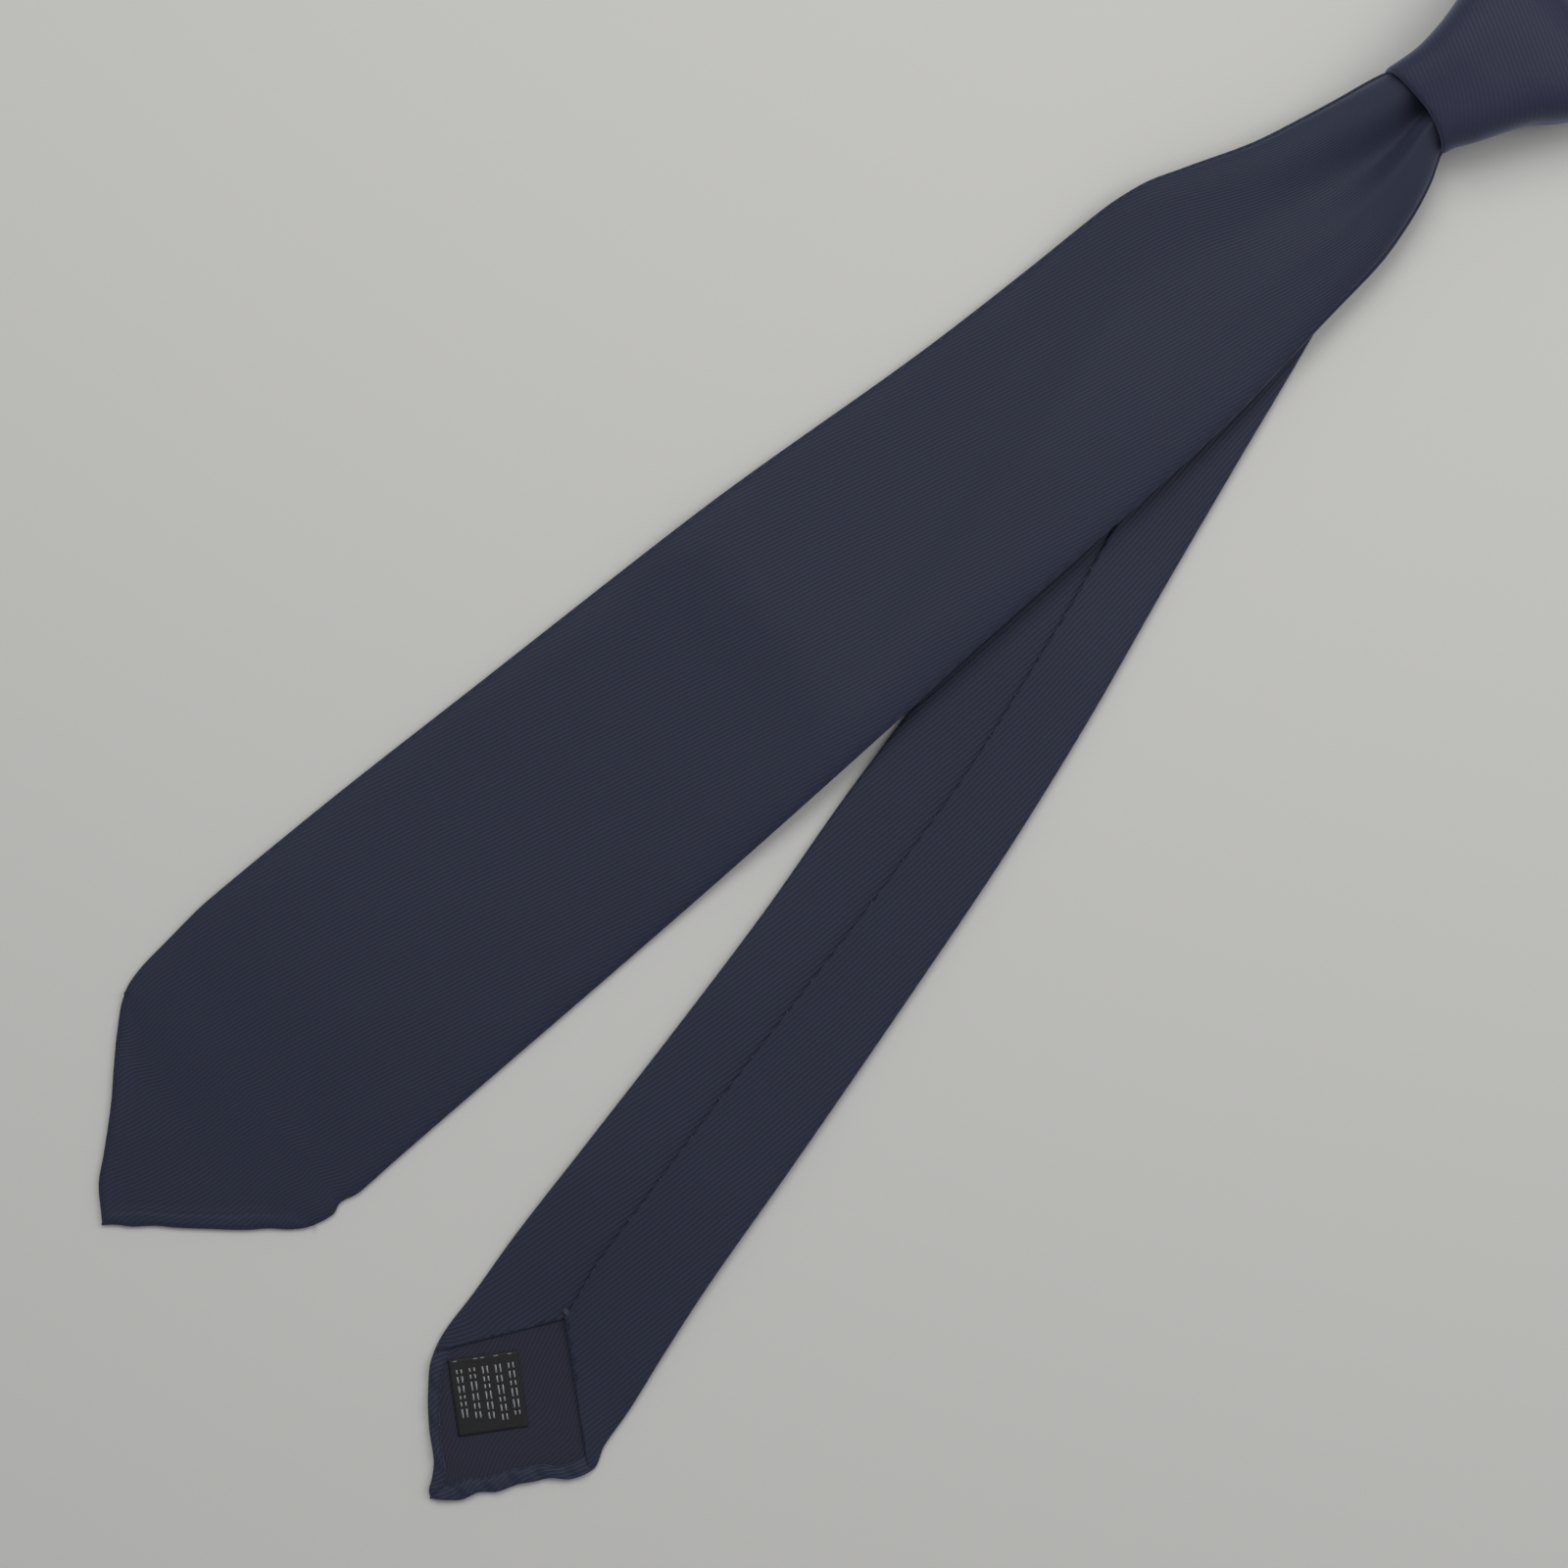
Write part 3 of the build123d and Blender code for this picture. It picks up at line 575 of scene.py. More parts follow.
def front_relief(blade, s, y):
    """What the knot's squeeze adds to the face: two lobes with a dimple between them."""
    squeeze = curve([(-130, 0), (-95, 0.06), (-60, 0.24), (-30, 0.58), (-10, 0.93), (0, 1), (16, 0.9)])(y)
    valley_at = curve([(-110, 0.38), (-40, 0.44), (-15, 0.54), (0, 0.59), (16, 0.59)])(y)
    ridge_at = curve([(-110, 0.72), (-40, 0.69), (-12, 0.69), (0, 0.72), (16, 0.72)])(y)
    wide = curve([(-110, 0.26), (-40, 0.21), (-10, 0.18), (16, 0.17)])(y)
    left_side = s < valley_at
    narrow = np.maximum((ridge_at - valley_at) * 0.7, 0.07)
    valley = np.where(left_side, bump(s, valley_at, wide), bump(s, valley_at, narrow))
    flat = curve([(-110, 2.6), (-30, 2.8), (0, 3.6), (16, 3.6)])(y)
    dome = np.sqrt(np.clip(1 - np.abs(2 * s - 1) ** flat, 0, 1))
    ridge = bump(s, ridge_at, 0.07)
    return squeeze * (6.4 * dome - 6.6 * valley + 0.8 * ridge)


def edge_round(distance, reach):
    """0 at an edge, rising to 1 a little way in, like a soft quarter round."""
    t = np.clip(distance / reach, 0, 1)
    return np.sqrt(1 - (1 - t) ** 2)


def point_gap(blade, x, y):
    """Distance to the nearer side of the point, in mm."""
    gaps = []
    for side, end in blade.ends():
        run = Vector((blade.tip[0] - end[0], blade.tip[1] - end[1]))
        slope = abs(run.y) / run.length
        above = smoothstep(y, end[1] - 4, end[1] + 8) * FAR
        gaps.append(np.abs(x - blade.edge(side, y)) * slope + above)
    return np.minimum(*gaps)


def edge_inset(blade, s, y):
    """Distance across the blade to its nearer edge."""
    return np.minimum(s, 1 - s) * (blade.right(y) - blade.left(y))


def front_heights(blade, x, y, s):
    """(underside, face) of the front blade."""
    base = front_base(blade, x, y)
    thick = blade.thick(y)
    inset = edge_inset(blade, s, y)
    rolled = smoothstep(s, 0.45, 0.55) * smoothstep(-y, 60, 130)       # the right edge rolls over more
    body = base + thick * (0.5 + 0.5 * edge_round(inset, 9 + 6 * rolled)) + front_relief(blade, s, y)
    body = body + 0.38 * ripple(x, y, 3, 120) * smoothstep(-y, 20, 90)
    gap = point_gap(blade, x, y)
    hem = edge_round(gap, 1.8) * (HEM_HEIGHT - 0.35 * smoothstep(gap, HEM_RETURN - 0.5, HEM_RETURN + 3.5))
    point = base + 0.1 + hem + 0.16 * ripple(x, y, 9, 26) * smoothstep(gap, 2, 8)
    point = point - 0.12 * bump(gap, HEM_RETURN + 0.9, 0.5)
    share = blade.in_point(y)
    return base, body * (1 - share) + point * share


def tail_heights(blade, x, y, s):
    """(flap level, face level) of the tail: it lies face down, so its flaps are on top."""
    face = TABLE_GAP + blade.under(y) + 0.1 * ripple(x, y, 5, 70)
    rounded = edge_round(edge_inset(blade, s, y), 5)
    flap = face + blade.thick(y) * (0.66 + 0.34 * rounded) + 0.22 * ripple(x, y, 12, 90)
    return flap, face


def stations(blade):
    """Rows down the blade, closer together in the point."""
    shoulder = max(blade.left_end[1], blade.right_end[1]) + 12
    rows = np.arange(blade.top_y, shoulder, -ROW_STEP)
    fine = np.arange(shoulder, blade.tip[1] + 2, -POINT_ROW_STEP)
    return np.concatenate([rows, fine, blade.tip[1] + np.array([1.6, 1.1, 0.7, 0.4, 0.2, 0.1])])


def edge_radius(blade, radius, y):
    """Radius of the rounded side edge: the folded silk's, or the hem's in the point."""
    share = blade.in_point(y)
    return radius * (1 - share) + HEM_HEIGHT * 0.5 * share


def face_grid(blade, heights, rows, angle):
    """The blade's face layer, from edge to edge."""
    s = spread_to_edges(FACE_COLUMNS)[None, :]
    y = rows[:, None]
    left, right = blade.left(y), blade.right(y)
    other, face = heights(blade, left + (right - left) * s, y, s)
    radius = np.abs(face - other) / 2
    inset_left = np.minimum(edge_radius(blade, radius[:, :1], y), (right - left) * 0.3)
    inset_right = np.minimum(edge_radius(blade, radius[:, -1:], y), (right - left) * 0.3)
    x = (left + inset_left) + (right - inset_right - left - inset_left) * s
    _, face = heights(blade, x, y, s)
    points = stack(x, y, face)
    flat_half = blade.cut_half(y)
    shrink = 1 if blade.face_up else np.minimum(1, (right - left) / 2 / flat_half)
    across = (s - 0.5) * 2 * flat_half * shrink
    share = blade.in_point(y)
    across = across * (1 - share) + (x - blade.middle(y)) * share
    return points, weave(across, y, angle)


def half_round(start, end, out):
    """Columns of points on a half ellipse from start to end, bulging towards out, without its ends."""
    middle = (start + end) / 2
    swing = (start - end) / 2
    turns = np.linspace(0, math.pi, ARC_POINTS + 2)[1:-1]
    return [middle + swing * math.cos(t) + out * math.sin(t) for t in turns]


def folded_side(blade, heights, points, rows, side, angle):
    """The fold at one edge and the back flap from it to the centre seam."""
    keep = rows > min(blade.left_end[1], blade.right_end[1]) - 10
    y = rows[keep]
    edge = points[keep, 0 if side < 0 else -1]
    outline = blade.edge(side, y)
    seam = blade.seam(y)
    target = seam if side > 0 else seam + LAP      # the right flap laps over the left one
    x = edge[:, :1] + (target[:, None] - edge[:, :1]) * np.linspace(0, 1, FLAP_COLUMNS)[None, :]
    level, _ = heights(blade, x, y[:, None], blade.share(x, y[:, None]))
    lap = np.exp(-np.abs(x - seam[:, None]) / 3.0)
    settle = smoothstep(y, -426, -380)[:, None]       # the flaps lie down beside the open pocket
    level = level + blade.flap_way * (lap * 0.45 + 0.5 * settle - 0.15 if side > 0 else -0.55 * lap)
    if blade.face_up:
        level = np.maximum(level, TABLE_GAP * 0.5)
    flap = stack(x, y[:, None], level)
    rolled = flap[:, -1] + (-side * 0.22, 0, -blade.flap_way * 0.35)
    turned = flap[:, -1] + (side * 0.5, 0, -blade.flap_way * 0.75)
    out = stack(outline - edge[:, 0], 0, 0)
    fold = half_round(edge, flap[:, 0], out)
    grid = np.stack([edge, *fold, *flap.swapaxes(0, 1), rolled, turned], axis=1)
    return grid, weave(grid[..., 0] - blade.middle(y)[:, None], grid[..., 1], *angle)


def hem_side(blade, points, rows, side, angle):
    """The rolled hem along one side of the point: round the edge, back over the cloth and under."""
    end = blade.left_end if side < 0 else blade.right_end
    keep = rows < end[1] + 5
    y = rows[keep]
    edge = points[keep, 0 if side < 0 else -1]
    outline = blade.edge(side, y)
    half = (blade.right(y) - blade.left(y)) / 2
    reach = np.minimum(HEM_RETURN / 0.72, half * 0.92)
    fade = smoothstep(-y, -end[1] - 5, -end[1] + 3)
    puff = (1 + 0.13 * np.sin(y * 0.9 + blade.wave_seed) + 0.08 * np.sin(y * 1.9 + 1)) * (0.1 + 0.9 * fade)
    outline = edge[:, 0] + (outline - edge[:, 0]) * (0.75 + 0.25 * fade)
    height = HEM_HEIGHT * puff * np.minimum(1, half / 2 + 0.25)
    if blade.face_up:
        height = np.minimum(height, edge[:, 2] - TABLE_GAP * 0.6)
    back = edge + stack(0, 0, blade.flap_way * height)
    out = stack(outline - edge[:, 0], 0, 0)
    q = np.linspace(0, 1, HEM_COLUMNS)
    sag = np.array([1 - math.sqrt(1 - place ** 3.4) for place in q])
    drop = sag * height[:, None] * 0.96
    over = back[:, None] + stack(-side * reach[:, None] * q, 0, -blade.flap_way * drop)
    grid = np.stack([edge, *half_round(edge, back, out), *over.swapaxes(0, 1)], axis=1)
    return grid, weave(grid[..., 0] - blade.middle(y)[:, None], grid[..., 1], *angle)


def cut_flaps(bm, blade):
    """Cuts the back flaps along the V from the apex to the shoulders, and turns their edges in."""
    layer = tag_layer(bm)
    for side, end in blade.ends():
        run = Vector((end[0] - blade.apex[0], end[1] - blade.apex[1], 0)).normalized()
        beyond = Vector((run.y, -run.x, 0))
        if beyond.y > 0:
            beyond = -beyond
        apex = Vector((*blade.apex, 0)) * MM
        faces = [f for f in bm.faces if f[layer] == side]
        parts = dict.fromkeys([*(v for f in faces for v in f.verts), *(e for f in faces for e in f.edges)])
        cut = bmesh.ops.bisect_plane(bm, geom=faces + list(parts), plane_co=apex, plane_no=beyond,
                                     clear_outer=True)
        rim = [e for e in cut["geom_cut"] if isinstance(e, bmesh.types.BMEdge) and e.is_boundary]
        for drop, inward in ((0.45, 0.12), (0.6, 0.55)):
            made = bmesh.ops.extrude_edge_only(bm, edges=rim)["geom"]
            moved = [v for v in made if isinstance(v, bmesh.types.BMVert)]
            bmesh.ops.translate(bm, verts=moved, vec=(-beyond * inward - UP * (blade.flap_way * drop)) * MM)
            rim = [e for e in made if isinstance(e, bmesh.types.BMEdge)]


def tag_layer(bm):
    """The face layer that holds -1 or 1 in a flap, FACE_TAG in the face and HEM_TAG in the hems."""
    return bm.faces.layers.int.get("side") or bm.faces.layers.int.new("side")


def add_tagged(bm, grid, cloth, tag):
    """Adds a grid whose faces all carry the tag."""
    before = len(bm.faces)
    add_grid(bm, grid, cloth)
    layer = tag_layer(bm)
    bm.faces.ensure_lookup_table()
    for face in bm.faces[before:]:
        face[layer] = tag


def make_blade(name, blade, heights, face_angle, left_angle, right_angle, materials):
    """A blade's silk: its face, its two flaps cut open at the point, and the point's hems."""
    rows = stations(blade)
    points, cloth = face_grid(blade, heights, rows, face_angle)
    bm = bmesh.new()
    tag_layer(bm)
    bm.loops.layers.uv.new("weave")
    add_tagged(bm, points, cloth, FACE_TAG)
    for side, angle in ((-1, left_angle), (1, right_angle)):
        grid, flap_cloth = folded_side(blade, heights, points, rows, side, angle)
        add_tagged(bm, grid, flap_cloth, side)
    cut_flaps(bm, blade)
    for v in bm.verts:
        v.co.z = max(v.co.z, LOWEST * MM)
    for side, angle in ((-1, left_angle), (1, right_angle)):
        grid, hem_cloth = hem_side(blade, points, rows, side, angle)
        add_tagged(bm, grid, hem_cloth, HEM_TAG)
    bmesh.ops.remove_doubles(bm, verts=bm.verts, dist=SEWN * MM)
    bmesh.ops.recalc_face_normals(bm, faces=bm.faces)
    layer = tag_layer(bm)
    rise = sum(f.normal.z * f.calc_area() for f in bm.faces if f[layer] == FACE_TAG)
    if rise * blade.flap_way > 0:
        bmesh.ops.reverse_faces(bm, faces=bm.faces)
    made = finish_mesh(bm, name, materials, thickness=SILK, inner_slot=1)
    for v in made.data.vertices:
        y = v.co.y / MM
        v.co.x = min(max(v.co.x, float(blade.left(y)) * MM), float(blade.right(y)) * MM)
    return made


tail = Blade(TAIL_LEFT, TAIL_RIGHT, TAIL_TIP, TAIL_SHOULDERS, TAIL_UNDER, TAIL_THICK, TAIL_SEAM,
             TAIL_APEX, face_up=False, cut_half=TAIL_CUT_HALF, wave_seed=0.4)
front = Blade(FRONT_LEFT, FRONT_RIGHT, FRONT_TIP, FRONT_SHOULDERS, FRONT_UNDER, FRONT_THICK, FRONT_SEAM,
              FRONT_APEX, face_up=True, cut_half=FRONT_CUT_HALF, wave_seed=1.3)

front_silk = make_blade("front_silk", front, front_heights, FRONT_RIB_ANGLE, (-FRONT_RIB_ANGLE,),
                        (-FRONT_RIB_ANGLE,), [silk_face, silk_back])
tail_silk = make_blade("tail_silk", tail, tail_heights, TAIL_FACE_RIB_ANGLE, LEFT_FLAP_RIB_ANGLES,
                       RIGHT_FLAP_RIB_ANGLES, [silk_tail, silk_back])


# -------- knot

KNOT_OUTLINE = [curve([(station[0], station[i]) for station in KNOT]) for i in range(1, 5)]


def knot_outline(y):
    """The knot's left, right, underside and top at a station."""
    return [side(y) for side in KNOT_OUTLINE]


def lip_y(x):
    """How far up the tie the knot's front lip bows at x."""
    return -0.9 - np.where(x > -1, 0.017, 0.002) * (x + 1) ** 2


def soft_ring(x, z, width, height, count, power_x, power_z):
    """Points round a soft rectangle, from its half width and half height."""
    turn = np.linspace(0, 2 * math.pi, count, endpoint=False)
    c, s = np.cos(turn), np.sin(turn)
    return x + width * np.sign(c) * np.abs(c) ** power_x, z + height * np.sign(s) * np.abs(s) ** power_z


def make_knot():
    """The knot's wrap: in from the lip, round it, up the outside and over the top."""
    body = [(y, 0.0) for y in np.linspace(2.6, 45, 46)]
    rows = []
    for y, inset in KNOT_LIP + body + KNOT_TOP:
        left, right, low, high = knot_outline(y)
        x, z = soft_ring((left + right) / 2, (low + high) / 2, (right - left) / 2 - inset,
                         (high - low) / 2 - inset, KNOT_COLUMNS, 0.62, 0.62)
        front_share = smoothstep(z, 6, 14)
        lip_shift = (lip_y(x) * front_share - 1.2 * (1 - front_share)) * (1 - smoothstep(y, 2, 22))
        swell = 0.3 * ripple(x, y, 21, 45) * smoothstep(z, 8, 16)
        rows.append(stack(x, y + lip_shift, z + swell))
    points = np.array(rows)
    points[..., 2] = points[..., 2].clip(LOWEST)
    top_place = KNOT_COLUMNS // 4
    girth = run_along(close_rings(points))
    run = run_along(points[None, :, top_place])[0]
    cloth = weave(girth[:, [top_place]] - girth, run[:, None], KNOT_RIB_ANGLE)
    bm = ring_mesh(points, cloth, capped=False)
    return finish_mesh(bm, "knot_wrap", [knot_silk_painted_light, knot_silk_painted_light], thickness=-SILK)


knot_wrap = make_knot()


# -------- inside the knot

def pillow(name, y_low, y_high, inset, z_low, z_high):
    """A soft filling inside the knot, from y_low to y_high, rounded at both ends."""
    rows = []
    for q in np.linspace(0, 1, PILLOW_ROWS):
        y = y_low + (y_high - y_low) * q
        left, right, low, high = knot_outline(y)
        swell = math.sqrt(max(0.0, 1 - abs(2 * q - 1) ** 8)) * 0.98 + 0.02
        bottom, top = max(low + inset, z_low), min(high - inset, z_high)
        x, z = soft_ring((left + right) / 2, (bottom + top) / 2, ((right - left) / 2 - inset) * swell,
                         (top - bottom) / 2 * swell, PILLOW_COLUMNS, 0.5, 0.7)
        rows.append(stack(x, y, z))
    points = np.array(rows)
    around = close_rings(points)
    cloth = weave(around[..., 0] + around[..., 2], around[..., 1], 20)
    return finish_mesh(ring_mesh(points, cloth, capped=True), name, [knot_silk_painted_light])


inner_turn = pillow("inner_turn", 5.5, 47, 2.6, 5.0, 7.2)
cross_turn = pillow("cross_turn", 17, 48, 2.4, 8.3, 40)


def core(name, blade, heights, y_high, y_low, inset):
    """The interlining: a flat pad inside the folded silk."""
    rows = np.arange(y_high, y_low, -CORE_STEP)
    s = np.linspace(0, 1, CORE_COLUMNS)[None, :]
    y = rows[:, None]
    margin = inset + 2.2 * smoothstep(y, -110, -30)
    left, right = blade.left(y) + margin, blade.right(y) - margin
    x = left + (right - left) * s
    first, second = heights(blade, x, y, blade.share(x, y))
    low, high = np.minimum(first, second), np.maximum(first, second)
    middle, half = (low + high) / 2, np.clip((high - low) / 2 - 0.75, 0.12, 1.0)
    edge = edge_round(np.minimum(s, 1 - s) * (right - left) + 0.05, 1.5)
    top, under = stack(x, y, middle + half * edge), stack(x, y, middle - half * edge)
    rings = np.concatenate([top, under[:, ::-1]], axis=1)
    bm = ring_mesh(rings, close_rings(rings)[..., :2], capped=True)
    return finish_mesh(bm, name, [wool_cloth])


front_core = core("front_core", front, front_heights, 8, FRONT_APEX[1] + 6, 1.8)
tail_core = core("tail_core", tail, tail_heights, 34, TAIL_APEX[1] + 8, 1.8)


# -------- stitches, keeper, label

def tail_top(x, y):
    """Height of the tail's flaps at a place."""
    return tail_heights(tail, x, y, tail.share(x, y))[0]


def pocket_floor(x, y):
    """Height of the cloth in the tail's open pocket."""
    return tail_heights(tail, x, y, tail.share(x, y))[1] + SILK


def under_front(x, y):
    """Height of the front blade's back at a place."""
    return front_base(front, x, y)


def stitch(start, end, lift, radius):
    """A short thread from start to end, arched by lift."""
    start, end = np.array(start), np.array(end)
    q = np.linspace(0, 1, 5)[:, None]
    route = start + (end - start) * q + stack(0, 0, lift * np.sin(math.pi * q[:, 0]))
    return tube("stitch", route, radius, navy_thread, sides=6)


def seam_stitches(name, blade, height, outward, seed):
    """Slip stitches that just show where the two flaps meet."""
    random = np.random.default_rng(seed)
    made = []
    arch = 0.12 * outward
    y = SEAM_START_Y
    while y > blade.apex[1] + 8:
        x = float(blade.seam(y)) + random.uniform(-0.15, 0.15)
        z = float(height(x, y))
        lean = random.uniform(-0.5, 0.5)
        made.append(stitch((x - 0.7, y + lean, z - 2 * arch), (x + 0.5, y - 0.8, z + arch), arch, 0.1))
        y -= SEAM_PITCH * random.uniform(0.85, 1.15)
    return join(name, made)


def hem_stitches(name, blade, height, outward, seed):
    """Tiny stitches along the inner side of a point's rolled hem."""
    random = np.random.default_rng(seed)
    made = []
    for side, end in blade.ends():
        run = Vector((blade.tip[0] - end[0], blade.tip[1] - end[1]))
        inward = -side * (HEM_RETURN + 0.1) * run.length / abs(run.y)
        y = end[1] - 5
        while y > blade.tip[1] + 9:
            x = float(blade.edge(side, y)) + inward
            if label_gap(x, y) > 0.6:
                z = float(height(x, y))
                end_point = (x - side * 0.7, y - 0.3, z - outward * 0.3)
                made.append(stitch((x + side * 0.6, y + 0.3, z), end_point, outward * 0.1, 0.12))
            y -= HEM_PITCH * random.uniform(0.8, 1.2)
    return join(name, made)


def label_frame(u, v):
    """A place on the label, from its centre, in the shared frame."""
    a = math.radians(LABEL_TURN)
    return (LABEL_AT[0] + u * math.cos(a) - v * math.sin(a),
            LABEL_AT[1] + u * math.sin(a) + v * math.cos(a))


def label_gap(x, y):
    """How far a place is outside the label."""
    a = math.radians(-LABEL_TURN)
    dx, dy = x - LABEL_AT[0], y - LABEL_AT[1]
    u = abs(dx * math.cos(a) - dy * math.sin(a)) - LABEL_SIZE[0] / 2
    v = abs(dx * math.sin(a) + dy * math.cos(a)) - LABEL_SIZE[1] / 2
    return max(u, v)


def label_height(x, y):
    """The label's own height: it lies a little unevenly over the pocket's cloth."""
    return pocket_floor(x, y) + 0.34 + 0.12 * ripple(x, y, 33, 18)


def rectangle(size, columns, rows):
    """Places across and along a rectangle, from its centre."""
    return np.meshgrid(np.linspace(-size[0] / 2, size[0] / 2, columns),
                       np.linspace(-size[1] / 2, size[1] / 2, rows))


def make_label():
    """The label's cloth, laid in the pocket."""
    u, v = rectangle(LABEL_SIZE, 27, 25)
    x, y = label_frame(u, v)
    bm = bmesh.new()
    add_grid(bm, stack(x, y, label_height(x, y)), stack(u, v))
    return finish_mesh(bm, "label", [label_ground], thickness=LABEL_THICK, outward=UP)


def make_label_marks():
    """Woven marks in place of the care text: five rows of plain dashes, and a broken edge thread."""
    random = np.random.default_rng(11)
    made = []

    def bar(u0, v0, u1, v1, radius):
        route = []
        for q in np.linspace(0, 1, 3):
            x, y = label_frame(u0 + (u1 - u0) * q, v0 + (v1 - v0) * q)
            route.append((x, y, float(label_height(x, y)) + 0.03))
        made.append(tube("mark", route, radius, label_thread, sides=5, squash=0.5))

    for v in np.arange(-2, 3) * MARK_PITCH + MARK_SHIFT:
        u = MARK_START
        while u < MARK_END:
            wide = random.uniform(0.9, 2.6)
            for line in (-0.62, 0.62):
                bar(u, v + line, u + wide, v + line, 0.24)
            u += wide + MARK_GAP
    edge = 0.7 - LABEL_SIZE[0] / 2
    for v in np.arange(-8.4, 9.0, 1.9):
        if random.uniform() > 0.3:
            bar(edge, v, edge, v + 1.2, 0.12)
    return join("label_marks", made)


label = make_label()
label_marks = make_label_marks()

front_seam_threads = seam_stitches("front_seam_threads", front, lambda x, y: under_front(x, y) + 0.1, -1, 5)
tail_seam_threads = seam_stitches("tail_seam_threads", tail, lambda x, y: tail_top(x, y) + 0.45, 1, 6)
tail_hem_threads = hem_stitches("tail_hem_threads", tail, lambda x, y: pocket_floor(x, y) + 0.75, 1, 7)
front_hem_threads = hem_stitches("front_hem_threads", front, lambda x, y: under_front(x, y) + 0.35, -1, 8)


def tack(name, x, y, z, outward):
    """Bar tack across the point where the flaps part."""
    made = []
    for k in range(5):
        row = y + 1.0 + 0.26 * k
        made.append(stitch((x - 2.2, row, z), (x + 2.2, row + 0.2, z), outward * 0.25, 0.15))
    return join(name, made)


tail_tack = tack("tail_tack", *TAIL_APEX, float(tail_top(*TAIL_APEX)) + 0.25, 1)
front_tack = tack("front_tack", FRONT_APEX[0], FRONT_APEX[1] + 1, float(under_front(*FRONT_APEX)), -1)


def make_keeper():
    """The keeper: a strip across the blade's back, drawn up closer to it at both ends."""
    half = KEEPER_SIZE[0] / 2
    u, v = rectangle(KEEPER_SIZE, 45, 13)
    x, y = KEEPER_AT[0] + u, KEEPER_AT[1] + v
    slack = 0.12 + 0.3 * smoothstep(np.abs(u), half - 1, half - 6)
    z = under_front(x, y) - slack - 0.08 * edge_round(KEEPER_SIZE[1] / 2 - np.abs(v), 1.2)
    bm = bmesh.new()
    add_grid(bm, stack(x, y, z), weave(x, y, 45))
    return finish_mesh(bm, "keeper", [silk_face, silk_back], thickness=KEEPER_THICK, outward=UP)


def make_keeper_threads():
    """Four stitches at each end of the keeper."""
    made = []
    for side in (-1, 1):
        for v in np.linspace(-4.5, 4.5, 4):
            x = KEEPER_AT[0] + side * KEEPER_SIZE[0] / 2
            y = KEEPER_AT[1] + v
            z = float(under_front(x, y))
            made.append(stitch((x - side * 1.1, y, z - 0.55), (x + side * 0.9, y + 0.2, z), -0.12, 0.14))
    return join("keeper_threads", made)


keeper = make_keeper()
keeper_threads = make_keeper_threads()


# -------- neck loop

TANGENT_SIN = (LOOP_R - LOOP_NECK_R) / (LOOP_CENTRE[1] - LOOP_NECK[1])
TANGENT_COS = math.sqrt(1 - TANGENT_SIN ** 2)
NECK_TOUCH = (LOOP_NECK_R * TANGENT_COS, LOOP_NECK[1] - LOOP_NECK_R * TANGENT_SIN)
RING_TOUCH = (LOOP_R * TANGENT_COS, LOOP_CENTRE[1] - LOOP_R * TANGENT_SIN)
LEG = math.hypot(RING_TOUCH[0] - NECK_TOUCH[0], RING_TOUCH[1] - NECK_TOUCH[1])
ARC = LOOP_R * (math.pi + 2 * math.asin(TANGENT_SIN))
ROUND = 2 * LEG + ARC
LEG_RISE = (RING_TOUCH[1] - NECK_TOUCH[1]) / LEG
BAND_LOW = curve([(40, 4.4), (52, 4.2), (60, 1.6), (67, 0.25), (110, 0.15), (200, 0.15)])
BAND_HIGH = curve([(40, 9.2), (52, 9.5), (64, 14.6), (82, 24.6), (100, 33.2), (112, 33.9), (200, 33.7)])


def band_place(run):
    """(x, y, outward x, outward y) at a distance round the loop from its left end in the knot."""
    if run <= LEG or run >= LEG + ARC:
        side = -1 if run <= LEG else 1
        part = run if side < 0 else ROUND - run
        q = part / LEG
        x = LOOP_CENTRE[0] + side * (NECK_TOUCH[0] + (RING_TOUCH[0] - NECK_TOUCH[0]) * q)
        y = NECK_TOUCH[1] + (RING_TOUCH[1] - NECK_TOUCH[1]) * q
        return x, y, side * TANGENT_COS, -TANGENT_SIN
    turn = math.pi + math.asin(TANGENT_SIN) - (run - LEG) / LOOP_R
    out = (math.cos(turn), math.sin(turn))
    return LOOP_CENTRE[0] + LOOP_R * out[0], LOOP_CENTRE[1] + LOOP_R * out[1], out[0], out[1]


def band_section():
    """Places round the band's section: (0 to 1 up the band, -1 inside to 1 outside)."""
    up = spread_to_edges(26)
    across = np.cos(np.linspace(0, math.pi, 9)[1:-1])
    outer = [(q, 1.0) for q in up] + [(1.0, out) for out in across]
    inner = [(q, -1.0) for q in up[::-1]] + [(0.0, -out) for out in across]
    return outer + inner


def shear_at(run):
    """How far the panel joins lean along the band per mm of height: 45 degrees at each bias seam."""
    return float(sum(bump(run, seam, 34) for seam in (BIAS_LEFT, BIAS_RIGHT)))


def run_at_height(y, left):
    """Distance round the loop where the ring passes y, on its left or right side."""
    angle = math.asin((y - LOOP_CENTRE[1]) / LOOP_R)
    run = LEG + (math.asin(TANGENT_SIN) + angle) * LOOP_R
    return run if left else ROUND - run


BIAS_LEFT = run_at_height(BIAS_LEFT_Y, True)
BIAS_RIGHT = run_at_height(BIAS_RIGHT_Y, False)


def ring_share(y):
    """0 at the knot and 1 in the loop's ring."""
    return float(smoothstep(y, 70, 120))


